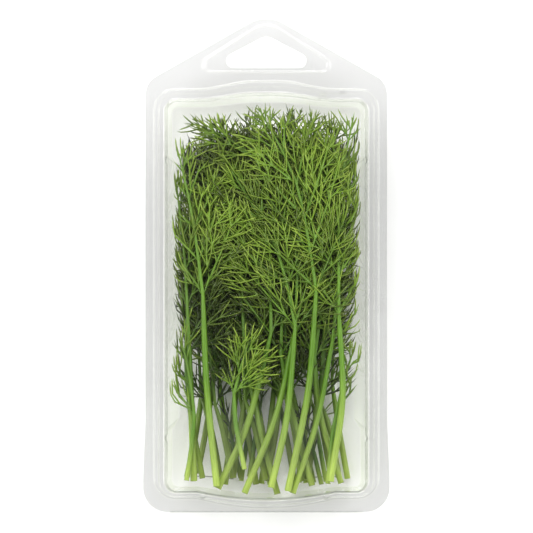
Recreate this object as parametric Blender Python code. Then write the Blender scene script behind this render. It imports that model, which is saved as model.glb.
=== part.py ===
"""Dill bunch in a clear hang-tab clamshell, lying on its back.

Frame: metres, +Z up and out of the pack's front, +Y towards the hang tab, origin under the middle
of the whole pack at the surface it lies on.

The pack is two thermoformed shells, a deep tray and a shallow lid, folded together at a living
hinge along the straight bottom edge. The dill lies between them in flat layers of sprigs. Each
sprig is one body: a cut stem, the rib that it runs on as, side branches in opposite pairs, and
thread-like leaflets. Above its neck a layer divides into two thinner ones with two plumes each, so
that no sprig touches another.
"""

import math
import random
from collections import namedtuple

import bmesh
import bpy
from mathutils import Matrix, Vector

MM = 0.001

# Pack, outside
PACK_LENGTH = 204.8 * MM
PACK_HEIGHT = 27.0 * MM
SHEET = 0.6 * MM
HALF_WIDTH = 50.0 * MM
BASE_FLARE = 1.0 * MM  # each side of the flange is this much wider at its lower corners
TRAY_RIM_Z = 19.5 * MM  # top face of the tray's flange
RIM_GAP = 0.3 * MM  # between the two flanges
LID_RIM_Z = TRAY_RIM_Z + RIM_GAP

# Flange, which runs up into the hang tab
RIM_TOP_Y = PACK_LENGTH / 2
PEAK_RADIUS = 13.6 * MM
PEAK_SLOPE = math.radians(29.7)
SHOULDER_RADIUS = 8.6 * MM
LOWER_CORNER_RADIUS = 10.1 * MM
FLARE_START_Y = -64.0 * MM
FLARE_END_Y = -88.0 * MM

# Hang hole: a low triangle with rounded corners
HOLE_BASE_Y = 81.9 * MM
HOLE_APEX_Y = 95.2 * MM
HOLE_HALF_SPAN = 26.5 * MM
HOLE_APEX_RADIUS = 5.2 * MM
HOLE_END_RADIUS = 3.2 * MM

# Stiffening ridge on the lid's flange, round the hang hole
RIDGE_BASE_Y = 79.6 * MM
RIDGE_APEX_Y = 100.6 * MM
RIDGE_HALF_SPAN = 36.0 * MM
RIDGE_APEX_RADIUS = 9.5 * MM
RIDGE_END_RADIUS = 3.6 * MM
RIDGE_WIDTH = 1.3 * MM
RIDGE_RISE = 0.5 * MM

# Snap button on the lid's bead
BUTTON_X = 31.6 * MM
BUTTON_Y = 72.4 * MM
BUTTON_WIDTH = 3.2 * MM
BUTTON_DEPTH = 2.2 * MM
BUTTON_RISE = 2.3 * MM

# Living hinge along the lower edge
HINGE_RADIUS = 0.5 * MM
HINGE_CLEARANCE = 0.3 * MM
HINGE_Y = -PACK_LENGTH / 2 + HINGE_RADIUS
HINGE_Z = TRAY_RIM_Z + RIM_GAP / 2
HINGE_HALF_LENGTH = 40.0 * MM
RIM_BOTTOM_Y = HINGE_Y + HINGE_RADIUS + HINGE_CLEARANCE

# Outline family of the raised lid and the sunk tray. An outline is named by its inset from the first.
OUTLINE_HALF_WIDTH = 46.7 * MM
OUTLINE_TOP_Y = 73.4 * MM
OUTLINE_BOTTOM_Y = -96.8 * MM
OUTLINE_RADIUS = 8.9 * MM
TOP_INSET_SHARE = 0.95
BOTTOM_INSET_SHARE = 0.6
TOP_ARCH = 3.3 * MM
BOTTOM_ARCH = 3.9 * MM
ARCH_LOSS = 0.18  # arch height lost for each unit of inset
ARCH_HALF_SPAN = 28.5 * MM
ARCH_HALF_PLATEAU = 5.5 * MM
ARCH_STEPS = 8
CORNER_STEPS = 4
LEAST_RADIUS = 1.5 * MM

# Lid section: lock bead, land, wall, window
BEAD_RISE = 1.6 * MM
BEAD_WIDTH = 1.9 * MM
BEAD_RUN = 0.4 * MM
LAND_RISE = 0.8 * MM
WALL_START = 4.3 * MM
WINDOW_INSET = 5.8 * MM

# Tray section: wall, base, sunk middle of the base
BASE_INSET = 7.1 * MM
WAIST_PINCH = 3.0 * MM
WAIST_TOP_Y = 41.0 * MM
WAIST_BOTTOM_Y = -63.5 * MM
WAIST_RAMP = 5.0 * MM
BASE_ROUND = 1.2 * MM
DIMPLE_INSET = 14.0 * MM
DIMPLE_DEPTH = 0.8 * MM
DIMPLE_RAMP = 1.0 * MM

# Dill
LAYER_PITCH = 3.0 * MM
FIRST_LAYER_Z = 3.3 * MM
PLUME_OFFSET = 0.75 * MM  # a plume lies this far above or below the middle of its stem's layer
STEM_RADIUS = 1.3 * MM
SHORT_STEM_RADIUS = 0.95 * MM
RIB_RADIUS = 0.66 * MM
RIB_END_RADIUS = 0.4 * MM
BRANCH_RADIUS = 0.46 * MM
BRANCH_END_RADIUS = 0.34 * MM
NODE_HALF = 0.45 * MM  # half the length of the stretch of rib or branch that a pair grows from
SPLIT_GAP = 0.7 * MM
SIDE_LIMIT_LOW = 35.2 * MM  # how far out a leaf may reach at the tray's base
SIDE_LIMIT_HIGH = 39.4 * MM
SIDE_LIMIT_SLOPE = 0.25
TOP_LIMIT_Y = 66.3 * MM
TOP_LIMIT_ARCH = 2.4 * MM
STEM_SIDES = 5
STEM_RINGS = 5
BRANCH_SHARE = 0.6  # length of a side branch against what is left of the rib above it
BRANCH_ANGLE = math.radians(33)
BRANCH_BEND = math.radians(9)
LEAFLET_ANGLES = (math.radians(50), math.radians(24))
LEAFLET_REACHES = (0.50, 0.58)  # against what is left of the branch beyond the leaflets
SHORTEST_LEAFLET = 4.5 * MM
LONGEST_LEAFLET = 9.5 * MM

BACK_NECKS = (-50.0, -42.0, -58.0, -46.0, -60.0)  # mm, lowest branches of each layer behind
BACK_SHIFTS = (7.0, -6.0, 1.0, -3.0, 4.0)  # mm, of each such layer's columns to the right
BACK_PITCH = 15.5  # mm
BACK_LEAN = 7.0  # mm, from a stem's foot to its neck
LOW_GAPS = ((1,), (0,), (-1, 1), (0,), (1,))  # gaps between such stems that hold a short sprig
LOW_LEAF = 17.0  # mm, from such a sprig's first pair to its layer's neck

PLASTIC = (0.90, 0.92, 0.91, 0.35)
DILL_GREEN = (0.14, 0.28, 0.035)
DILL_LIGHTER = (0.10, 0.14, 0.02)  # added in full to the palest sprig

# The sprigs seen from the front, in mm: name, layer, side of the layer that the plume lies on (0 for
# a short sprig, which keeps to the middle), pairs of branches, foot, bend, first pair, middle, tip
FRONT_SPRIGS = (
    ("front_left", 7, 1, 5, (-20.5, -91.0), (-24.6, -50.0), (-26.2, -12.0), (-30.5, 20.0), (-37.0, 50.0)),
    ("front_middle", 7, -1, 5, (2.0, -91.5), (8.6, -62.0), (12.0, -25.0), (4.0, 8.0), (-16.0, 42.0)),
    ("front_tall", 7, 1, 6, (8.9, -93.0), (17.2, -52.0), (20.7, -10.0), (12.5, 34.0), (-4.0, 67.0)),
    ("front_right", 7, -1, 6, (26.5, -89.0), (31.5, -55.0), (30.0, -20.0), (30.5, 30.0), (36.5, 64.0)),
    ("second_left", 6, 1, 5, (-30.0, -89.0), (-31.0, -60.0), (-32.0, -31.0), (-34.0, 5.0), (-37.5, 36.0)),
    ("second_arching", 6, -1, 6, (-20.0, -92.0), (-8.0, -66.0), (2.0, -28.0), (-2.0, 40.0), (-31.0, 60.0)),
    ("second_middle", 6, 1, 6, (-9.0, -94.0), (4.0, -62.0), (12.0, -27.0), (14.0, 20.0), (20.0, 64.0)),
    ("second_right", 6, -1, 5, (11.0, -94.0), (21.0, -64.0), (27.5, -31.0), (31.0, 5.0), (36.0, 44.0)),
    ("third_left", 5, 1, 4, (-26.5, -88.0), (-31.0, -64.0), (-33.5, -39.0), (-33.0, 0.0), (-37.0, 24.0)),
    ("third_middle", 5, -1, 6, (4.6, -94.5), (-2.5, -68.0), (-9.0, -36.0), (-12.0, 10.0), (-20.0, 62.0)),
    ("third_tall", 5, 1, 6, (19.0, -91.0), (11.0, -62.0), (6.0, -37.0), (8.0, 20.0), (11.0, 67.0)),
    ("third_right", 5, -1, 6, (31.0, -90.0), (22.5, -62.0), (20.0, -38.0), (27.0, 15.0), (27.0, 65.0)),
    ("short_left", 7, 0, 3, (-33.0, -88.5), (-30.8, -74.0), (-29.7, -62.0), (-31.5, -47.0), (-35.5, -29.0)),
    ("short_middle", 7, 0, 3, (-9.0, -84.0), (-12.5, -66.0), (-13.5, -53.0), (-10.5, -42.0), (-7.0, -29.5)),
    ("short_right", 6, 0, 3, (25.5, -90.0), (27.5, -70.0), (29.5, -59.0), (32.0, -48.0), (36.0, -35.0)),
)

Sprig = namedtuple("Sprig", "name layer side foot bend rib pairs short")


def mm(*values):
    """A point given in millimetres."""
    return Vector([value * MM for value in values])


# Clearing the scene, materials and finished objects


def clear_scene():
    for old in list(bpy.data.objects):
        bpy.data.objects.remove(old)


def material(name, colour, roughness):
    made = bpy.data.materials.new(name)
    made.use_nodes = True
    shader = made.node_tree.nodes["Principled BSDF"]
    shader.inputs["Base Color"].default_value = colour
    shader.inputs["Alpha"].default_value = colour[3]
    shader.inputs["Roughness"].default_value = roughness
    shader.inputs["Metallic"].default_value = 0.0
    return made


def finished(name, bm, finish=None, smooth_angle=None):
    """One object of the scene from a bmesh."""
    mesh = bpy.data.meshes.new(name)
    bm.to_mesh(mesh)
    bm.free()
    if finish:
        mesh.materials.append(finish)
    if smooth_angle:
        mesh.shade_smooth()
        mesh.set_sharp_from_angle(angle=smooth_angle)
    made = bpy.data.objects.new(name, mesh)
    bpy.context.scene.collection.objects.link(made)
    return made


# Outlines


def arc_corner(before, corner, after, radius, steps):
    """The points of a round corner of that radius, from one side of a polygon to the next."""
    into = (corner - before).normalized()
    out = (after - corner).normalized()
    turn = into.angle(out)
    reach = radius * math.tan(turn / 2)
    inward = (out - into).normalized()
    centre = corner + inward * (radius / math.cos(turn / 2))
    start = corner - into * reach - centre
    points = []
    for step in range(steps + 1):
        share = step / steps
        blend = (math.sin((1 - share) * turn), math.sin(share * turn))
        end = corner + out * reach - centre
        points.append(centre + (start * blend[0] + end * blend[1]) / math.sin(turn))
    return points


def rounded(corners):
    """A closed outline through (point, radius, steps) corners."""
    points = []
    for index, (corner, radius, steps) in enumerate(corners):
        before = corners[index - 1][0]
        after = corners[(index + 1) % len(corners)][0]
        if radius:
            points += arc_corner(before, corner, after, radius, steps)
        else:
            points.append(corner)
    return points


def rim_outline():
    """The flange's edge, anticlockwise from the lower right: a house shape with a blunt peak."""
    virtual_peak = RIM_TOP_Y + PEAK_RADIUS * (1 / math.cos(PEAK_SLOPE) - 1)
    shoulder = virtual_peak - HALF_WIDTH * math.tan(PEAK_SLOPE)
    wide = HALF_WIDTH + BASE_FLARE
    right = [
        (Vector((wide, RIM_BOTTOM_Y)), LOWER_CORNER_RADIUS, 6),
        (Vector((wide, FLARE_END_Y)), 0, 0),
        (Vector((HALF_WIDTH, FLARE_START_Y)), 0, 0),
        (Vector((HALF_WIDTH, shoulder)), SHOULDER_RADIUS, 5),
    ]
    left = [(Vector((-point.x, point.y)), radius, steps) for point, radius, steps in right]
    peak = (Vector((0, virtual_peak)), PEAK_RADIUS, 6)
    return rounded(right + [peak] + left[::-1])


def low_triangle(base_y, apex_y, half_span, apex_radius, end_radius):
    """A low triangle with rounded corners, anticlockwise. Its apex is stated as it is after rounding."""
    slope = math.atan2(apex_y - base_y, half_span)
    lift = apex_radius * (1 / math.cos(slope) - 1)
    return rounded(
        [
            (Vector((half_span, base_y)), end_radius, 5),
            (Vector((0, apex_y + lift)), apex_radius, 4),
            (Vector((-half_span, base_y)), end_radius, 5),
        ]
    )


def hang_hole():
    """The hang hole's edge."""
    return low_triangle(HOLE_BASE_Y, HOLE_APEX_Y, HOLE_HALF_SPAN, HOLE_APEX_RADIUS, HOLE_END_RADIUS)


def ridge_outline(inset):
    """The edge of the ridge round the hang hole, drawn in by an inset."""
    return low_triangle(
        RIDGE_BASE_Y + inset,
        RIDGE_APEX_Y - inset,
        RIDGE_HALF_SPAN - 4.4 * inset,
        RIDGE_APEX_RADIUS - inset,
        RIDGE_END_RADIUS - inset,
    )


def arch(x, height):
    """How far the outline's top edge bows out at x: an S each side of a short straight."""
    rise = (ARCH_HALF_SPAN - abs(x)) / (ARCH_HALF_SPAN - ARCH_HALF_PLATEAU)
    rise = min(1.0, max(0.0, rise))
    return height * rise * rise * (3 - 2 * rise)


def bow(x, height):
    """How far the outline's bottom edge bows out at x: one shallow arc."""
    return height * (1 - (x / ARCH_HALF_SPAN) ** 2)


def waist(y, pinch):
    """How far the tray's side is drawn in at y: nothing at the ends, all of it in the middle."""
    rise = min(WAIST_TOP_Y - y, y - WAIST_BOTTOM_Y) / WAIST_RAMP + 1
    return pinch * min(1.0, max(0.0, rise))


def body_outline(inset, wall=0.0, pinch=0.0):
    """One outline of the lid and tray family, anticlockwise from the lower right corner."""
    half = OUTLINE_HALF_WIDTH - inset - wall
    top = OUTLINE_TOP_Y - inset * TOP_INSET_SHARE - wall
    bottom = OUTLINE_BOTTOM_Y + inset * BOTTOM_INSET_SHARE + wall
    radius = max(LEAST_RADIUS, OUTLINE_RADIUS - inset * 0.86 - wall)
    top_arch = max(0.0, TOP_ARCH - inset * ARCH_LOSS)
    bottom_arch = max(0.0, BOTTOM_ARCH - inset * ARCH_LOSS)
    corners = [
        (Vector((half, bottom)), radius, CORNER_STEPS),
        (Vector((half, top)), radius, CORNER_STEPS),
        (Vector((-half, top)), radius, CORNER_STEPS),
        (Vector((-half, bottom)), radius, CORNER_STEPS),
    ]
    lower_right, upper_right, upper_left, lower_left = [
        rounded(corners)[n * (CORNER_STEPS + 1) : (n + 1) * (CORNER_STEPS + 1)] for n in range(4)
    ]
    stations = [
        WAIST_BOTTOM_Y - WAIST_RAMP,
        WAIST_BOTTOM_Y,
        WAIST_TOP_Y,
        WAIST_TOP_Y + WAIST_RAMP,
    ]
    right = [Vector((half - waist(y, pinch), y)) for y in stations]
    left = [Vector((-point.x, point.y)) for point in right[::-1]]
    span = [ARCH_HALF_SPAN * (1 - 2 * n / ARCH_STEPS) for n in range(ARCH_STEPS + 1)]
    above = [Vector((x, top + arch(x, top_arch))) for x in span]
    below = [Vector((-x, bottom - bow(x, bottom_arch))) for x in span]
    return lower_right + right + upper_right + above + upper_left + left + lower_left + below


# Solids of the pack


def prism(outline, low, high):
    """A bmesh of the outline between two heights."""
    return loft([(outline, low), (outline, high)])


def loft(rings):
    """A closed bmesh through rings of equal count, each an (outline, z), by extruding its cap."""
    bm = bmesh.new()
    outline, z = rings[0]
    face = bm.faces.new([bm.verts.new((p.x, p.y, z)) for p in outline])
    bottom = face.copy()
    bottom.normal_flip()
    for outline, z in rings[1:]:
        old = list(face.verts)
        face = bmesh.ops.extrude_discrete_faces(bm, faces=[face])["faces"][0]
        lifted = {e.other_vert(v): v for v in face.verts for e in v.link_edges}
        for vertex, point in zip(old, outline):
            lifted[vertex].co = (point.x, point.y, z)
    bmesh.ops.remove_doubles(bm, verts=bm.verts, dist=0.01 * MM)
    # Twisted side faces split alike in a body and its hollow, so the wall keeps its thickness.
    quads = [side for side in bm.faces if len(side.verts) == 4]
    bmesh.ops.triangulate(bm, faces=quads, quad_method="FIXED")
    bmesh.ops.recalc_face_normals(bm, faces=bm.faces)
    return bm


def combine(target, other, operation):
    """Applies a Boolean of another object to target, and removes that object."""
    cut = target.modifiers.new(operation, "BOOLEAN")
    cut.operation = operation
    cut.object = other
    cut.solver = "EXACT"
    graph = bpy.context.evaluated_depsgraph_get()
    result = bpy.data.meshes.new_from_object(target.evaluated_get(graph))
    target.modifiers.remove(cut)
    target.data = result
    bpy.data.objects.remove(other)


def shell(name, rim_z, outer, inner, raised_details=()):
    """A flange joined to a body and its details, with the body's hollow and the hang hole cut out."""
    plastic = material(name + "_clear_plastic", PLASTIC, 0.15)
    made = finished(name, prism(rim_outline(), rim_z, rim_z + SHEET), plastic)
    combine(made, finished("body", loft(outer)), "UNION")
    for detail in raised_details:
        combine(made, detail, "UNION")
    combine(made, finished("hollow", loft(inner)), "DIFFERENCE")
    hole = prism(hang_hole(), rim_z - SHEET, rim_z + 2 * SHEET)
    combine(made, finished("hole", hole), "DIFFERENCE")
    return made


def hang_ridge(rim_z):
    """The ridge round the hang hole, rooted in a flange."""
    low = rim_z + SHEET / 2
    high = rim_z + SHEET + RIDGE_RISE
    ridge = finished("ridge", prism(ridge_outline(0.0), low, high))
    inside_ridge = prism(ridge_outline(RIDGE_WIDTH), low - SHEET, high + SHEET)
    combine(ridge, finished("inside_ridge", inside_ridge), "DIFFERENCE")
    return ridge


def snap_button(rim_z):
    """The rectangular button that stands on the lid's bead."""
    bm = bmesh.new()
    bmesh.ops.create_cube(bm, size=1.0)
    low = rim_z + SHEET / 2
    high = rim_z + BUTTON_RISE
    bmesh.ops.scale(bm, verts=bm.verts, vec=(BUTTON_WIDTH, BUTTON_DEPTH, high - low))
    bmesh.ops.translate(bm, verts=bm.verts, vec=(BUTTON_X, BUTTON_Y, (low + high) / 2))
    return finished("button", bm)


def tray():
    """The deep shell, with a sunk middle in its base so that it rests on a flat ring."""
    low = TRAY_RIM_Z - SHEET

    def base(inset, wall=0.0):
        return body_outline(inset, wall, WAIST_PINCH)

    round_in = BASE_ROUND / 2
    outer = [
        (base(DIMPLE_INSET + DIMPLE_RAMP), DIMPLE_DEPTH),
        (base(DIMPLE_INSET), 0.0),
        (base(BASE_INSET + BASE_ROUND), 0.0),
        (base(BASE_INSET + round_in / 2), round_in),
        (base(BASE_INSET), BASE_ROUND),
        (body_outline(WALL_START), low + SHEET / 2),
    ]
    inner = [
        (base(DIMPLE_INSET + DIMPLE_RAMP), DIMPLE_DEPTH + SHEET),
        (base(DIMPLE_INSET), SHEET),
        (base(BASE_INSET + BASE_ROUND, SHEET / 2), SHEET),
        (base(BASE_INSET, SHEET), BASE_ROUND + SHEET / 2),
        (body_outline(WALL_START, SHEET), TRAY_RIM_Z),
        (body_outline(WALL_START, SHEET), TRAY_RIM_Z + SHEET),
    ]
    return shell("tray", low, outer, inner)


def lid():
    """The shallow shell with the window, its origin on the hinge's axis."""
    ceiling = PACK_HEIGHT
    low = LID_RIM_Z
    high = low + SHEET
    outer = [
        (body_outline(0.0), low + SHEET / 2),
        (body_outline(0.0), high),
        (body_outline(BEAD_RUN), low + BEAD_RISE),
        (body_outline(BEAD_WIDTH), low + BEAD_RISE),
        (body_outline(BEAD_WIDTH + BEAD_RUN), low + LAND_RISE),
        (body_outline(WALL_START), low + LAND_RISE),
        (body_outline(WINDOW_INSET), ceiling),
    ]
    inner = [
        (body_outline(SHEET), low - SHEET),
        (body_outline(SHEET), low),
        (body_outline(BEAD_RUN, SHEET), low + BEAD_RISE - SHEET),
        (body_outline(BEAD_WIDTH - SHEET), low + BEAD_RISE - SHEET),
        (body_outline(BEAD_WIDTH + BEAD_RUN - SHEET), low + LAND_RISE - SHEET),
        (body_outline(WALL_START + SHEET), low + LAND_RISE - SHEET),
        (body_outline(WINDOW_INSET, SHEET), ceiling - SHEET),
    ]
    made = shell("lid", low, outer, inner, (hang_ridge(low), snap_button(low)))
    hinge = Vector((0, HINGE_Y, HINGE_Z))
    made.data.transform(Matrix.Translation(-hinge))
    made.location = hinge
    return made


def living_hinge():
    """The fold between the two flanges, as a slim bar on its own axis."""
    bm = bmesh.new()
    bmesh.ops.create_cone(
        bm,
        cap_ends=True,
        segments=8,
        radius1=HINGE_RADIUS,
        radius2=HINGE_RADIUS,
        depth=2 * HINGE_HALF_LENGTH,
    )
    plastic = material("living_hinge_clear_plastic", PLASTIC, 0.15)
    made = finished("living_hinge", bm, plastic, math.radians(60))
    made.rotation_euler = (0, math.pi / 2, 0)
    made.location = (0, HINGE_Y, HINGE_Z)
    return made


# Growing a sprig: a cap is extruded from ring to ring, and branches leave from side faces


def bearings(tangent):
    """The directions to the right of a path and up from it."""
    right = tangent.cross(Vector((0, 0, 1))).normalized()
    return right, right.cross(tangent).normalized()


def ring_points(centre, tangent, radius, sides):
    """Corners of a ring, clockwise as the path is followed, starting at the top."""
    right, up = bearings(tangent)
    turns = [math.pi / 2 - 2 * math.pi * n / sides for n in range(sides)]
    return [centre + (right * math.cos(a) + up * math.sin(a)) * radius for a in turns]


def extend(bm, face, ring, points):
    """Extrudes a cap to the next ring. Returns the new cap, its ring, and the side faces by corner."""
    face = bmesh.ops.extrude_discrete_faces(bm, faces=[face])["faces"][0]
    after = {}
    for vertex in face.verts:
        for edge in vertex.link_edges:
            after[edge.other_vert(vertex)] = vertex
    new_ring = [after[vertex] for vertex in ring]
    for vertex, point in zip(new_ring, points):
        vertex.co = point
    sides = []
    for n, vertex in enumerate(ring):
        other = new_ring[(n + 1) % len(ring)]
        sides.append(next(f for f in vertex.link_faces if other in f.verts))
    return face, new_ring, sides


def point_out(bm, face, tip):
    """Draws a face out to a point."""
    made = bmesh.ops.poke(bm, faces=[face])["verts"]
    made[0].co = tip


def smooth_path(points, count):
    """count + 1 points at even shares along a Catmull-Rom curve through the points given."""
    ends = [2 * points[0] - points[1]] + list(points) + [2 * points[-1] - points[-2]]
    spans = len(points) - 1
    path = []
    for step in range(count + 1):
        place = step / count * spans
        span = min(int(place), spans - 1)
        t = place - span
        a, b, c, d = ends[span : span + 4]
        cubic = 3 * b - a - 3 * c + d
        square = 2 * a - 5 * b + 4 * c - d
        path.append(b + (c - a) * (t / 2) + square * (t * t / 2) + cubic * (t * t * t / 2))
    return path


def along(path, distance):
    """The point and direction at a distance along a polyline."""
    for start, end in zip(path, path[1:]):
        length = (end - start).length
        if distance <= length or end is path[-1]:
            tangent = (end - start).normalized()
            return start + tangent * distance, tangent
        distance -= length


def path_length(path):
    return sum((b - a).length for a, b in zip(path, path[1:]))


# Where each sprig may reach


def side_limit(z):
    return min(SIDE_LIMIT_HIGH, SIDE_LIMIT_LOW + z * SIDE_LIMIT_SLOPE)


def inside(point, region):
    """True if a point is within the sprig's own stretch of its layer and inside the pack."""
    low, high = region(point.y)
    roof = TOP_LIMIT_Y + arch(point.x, TOP_LIMIT_ARCH)
    return low < point.x < high and point.y < roof


def sprig_region(sprig, others):
    """A function of y that gives the sprig's least and greatest x."""
    limit = side_limit(layer_z(sprig))
    layer = [other for other in others if other is not sprig and other.layer == sprig.layer]
    neighbours = [other for other in layer if sprig.short or other.side == sprig.side]

    def bounds(y):
        low, high = -limit, limit
        for other in neighbours:
            split = (rib_x(sprig, y) + rib_x(other, y)) / 2
            if rib_x(other, y) > rib_x(sprig, y):
                high = min(high, split - SPLIT_GAP)
            else:
                low = max(low, split + SPLIT_GAP)
        return low, high

    return bounds


def layer_z(sprig):
    return FIRST_LAYER_Z + sprig.layer * LAYER_PITCH


def rib_x(sprig, y):
    """The rib's x at a height on the pack, held at its ends."""
    points = [sprig.foot, sprig.bend] + list(sprig.rib)
    if y <= points[0].y:
        return points[0].x
    for a, b in zip(points, points[1:]):
        if y <= b.y:
            return a.x + (b.x - a.x) * (y - a.y) / (b.y - a.y)
    return points[-1].x


# The sprigs


def front_sprigs():
    """The three front layers, and the short sprigs among their stems."""
    made = []
    for name, layer, side, pairs, foot, bend, *rib in FRONT_SPRIGS:
        points = [mm(*point) for point in rib]
        made.append(Sprig(name, layer, side, mm(*foot), mm(*bend), points, pairs, side == 0))
    return made


def back_sprigs():
    """The five layers behind, by a rule: four stems a layer, leaning left and right by turns."""
    made = []
    for layer, neck in enumerate(BACK_NECKS):
        draw = random.Random(100 + layer)
        lean = BACK_LEAN if layer % 2 else -BACK_LEAN
        limit = side_limit(FIRST_LAYER_Z + layer * LAYER_PITCH) / MM
        for column in range(4):
            stem_x = BACK_PITCH * (column - 1.5) + BACK_SHIFTS[layer] + draw.uniform(-1.2, 1.2)
            foot_x = stem_x - lean / 2 + draw.uniform(-1.0, 1.0)
            foot_x = max(2.0 - limit, min(limit - 2.0, foot_x))
            crown_x = stem_x + lean / 2 + draw.uniform(-1.0, 1.0)
            crown_y = neck + draw.uniform(0.0, 6.0)
            tip_x = crown_x * 1.25 + draw.uniform(-3.0, 3.0)
            tip_x = max(4.0 - limit, min(limit - 4.0, tip_x))
            tip_y = 63.0 - abs(tip_x) * 0.35 - draw.uniform(0.0, 10.0)
            lowest = -89.0 - 4.0 * max(0.0, 1 - (foot_x / 30.0) ** 2)
            foot = mm(foot_x, lowest + draw.uniform(0.0, 5.0))
            bend = mm(stem_x, -68.0)
            middle = mm((crown_x + tip_x) / 2 + draw.uniform(-2.0, 2.0), (crown_y + tip_y) / 2)
            rib = [mm(crown_x, crown_y), middle, mm(tip_x, tip_y)]
            side = 1 if column % 2 else -1
            name = f"back_{layer + 1}_{column + 1}"
            pairs = 5 if layer == 0 else 4
            made.append(Sprig(name, layer, side, foot, bend, rib, pairs, False))
    return made


def low_sprigs():
    """Short sprigs in gaps between the stems behind, each ending under its layer's lowest branches."""
    made = []
    for layer, gaps in enumerate(LOW_GAPS):
        draw = random.Random(200 + layer)
        lean = BACK_LEAN if layer % 2 else -BACK_LEAN
        neck = BACK_NECKS[layer]
        for gap in gaps:
            middle_x = BACK_PITCH * gap + BACK_SHIFTS[layer] + draw.uniform(-1.2, 1.2)
            foot_y = draw.uniform(-91.0, -87.0)
            first_y = neck - LOW_LEAF
            levels = (foot_y, (foot_y + first_y) / 2, first_y, neck - LOW_LEAF / 2, neck - 1.5)
            # Each point lies on the slant of the stems beside it.
            foot, bend, *rib = [mm(middle_x + lean * ((y + 90.0) / (neck + 90.0) - 0.5), y) for y in levels]
            made.append(Sprig(f"low_{layer + 1}_{gap + 2}", layer, 0, foot, bend, rib, 2, True))
    return made


def branch_plan(sprig, rib, region):
    """The side branches: for each, its distance along the rib, its side, and its path on the flat."""
    length = path_length(rib)
    plan = []
    for pair in range(sprig.pairs):
        share = 1 - (1 - pair / (sprig.pairs + 0.3)) ** 1.2
        place = 2 * NODE_HALF + share * length
        root, tangent = along(rib, place)
        for side in (1, -1):
            draw = random.Random(f"{sprig.name} {pair} {side}")
            angle = BRANCH_ANGLE * draw.uniform(0.85, 1.2)
            reach = BRANCH_SHARE * (length - place) * draw.uniform(0.85, 1.05) + 4.0 * MM
            path = bent_path(root, tangent, side * angle, -side * BRANCH_BEND, reach, region)
            plan.append((place, side, path))
    return plan


def turned(direction, angle):
    """A flat direction turned to the right by an angle."""
    c, s = math.cos(angle), math.sin(angle)
    return Vector((direction.x * c + direction.y * s, direction.y * c - direction.x * s, direction.z))


def bent_path(root, tangent, angle, bend, reach, region, steps=6):
    """A path that leaves at an angle and bends as it goes, cut short where it would leave the region."""
    flat = Vector((tangent.x, tangent.y, 0)).normalized()
    path = [root.copy()]
    for step in range(steps):
        direction = turned(flat, angle + bend * step / steps)
        point = path[-1] + direction * reach / steps
        if not inside(point, region):
            break
        path.append(point)
    return path


def grow_branch(bm, face, side, path, height, region):
    """A three-sided branch from a side face of the rib, with leaflet pairs and a point."""
    length = path_length(path)
    if length < 5.0 * MM:
        if length > 2.0 * MM:
            point_out(bm, face, raised(path[-1], height))
        return
    nodes = (0.34, 0.66) if length > 22.0 * MM else (0.5,)
    ring = list(face.verts)
    if len(ring) == 4:
        corner = max(ring, key=lambda v: v.co.z)
        opposite = ring[(ring.index(corner) + 2) % 4]
        face = bmesh.utils.face_split(face, corner, opposite)[0]
        ring = list(face.verts)
    start = None
    for share in nodes:
        for shift in (-NODE_HALF, NODE_HALF):
            centre, tangent = along(path, share * length + shift)
            radius = BRANCH_RADIUS + (BRANCH_END_RADIUS - BRANCH_RADIUS) * share
            points = ring_points(raised(centre, height), tangent, radius, 3)
            if start is None:
                start = nearest_start(ring, points)
            face, ring, sides = extend(bm, face, ring, points[start:] + points[:start])
        leaf_pair(bm, sides, path, share, length, height, region)
    point_out(bm, face, raised(path[-1], height))


def nearest_start(ring, points):
    """The ring point that the face's own first corner is joined to with the least twist."""

    def twist(start):
        turned_points = points[start:] + points[:start]
        return sum((vertex.co - point).length for vertex, point in zip(ring, turned_points))

    return min(range(len(points)), key=twist)


def leaf_pair(bm, sides, path, share, length, height, region):
    """A forked leaflet from each side of the stretch of branch just grown."""
    centre, tangent = along(path, share * length)
    right, _ = bearings(tangent)
    for face in sides:
        outward = (face.calc_center_median() - raised(centre, height)).dot(right)
        levels = [vertex.co.z for vertex in face.verts]
        if max(levels) - min(levels) < BRANCH_END_RADIUS:
            continue
        side = 1 if outward > 0 else -1
        corners = list(face.verts)
        bmesh.utils.face_split(face, corners[0], corners[2])
        shared = bm.edges.get((corners[0], corners[2]))
        halves = sorted(shared.link_faces, key=lambda half: half.calc_center_median().dot(tangent))
        for half, angle, factor in zip(halves, LEAFLET_ANGLES, LEAFLET_REACHES):
            reach = (1 - share) * length * factor
            reach = min(LONGEST_LEAFLET, max(SHORTEST_LEAFLET, reach))
            tip = centre + turned(tangent, side * angle) * reach
            if inside(tip, region):
                point_out(bm, half, raised(tip, height))


def raised(point, height):
    return Vector((point.x, point.y, height))


def sprig_material(sprig):
    """The sprig's own green."""
    paleness = random.Random(sprig.name).random()
    colour = [base + more * paleness for base, more in zip(DILL_GREEN, DILL_LIGHTER)]
    return material("dill_green_" + sprig.name, (*colour, 1.0), 0.5)


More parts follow.
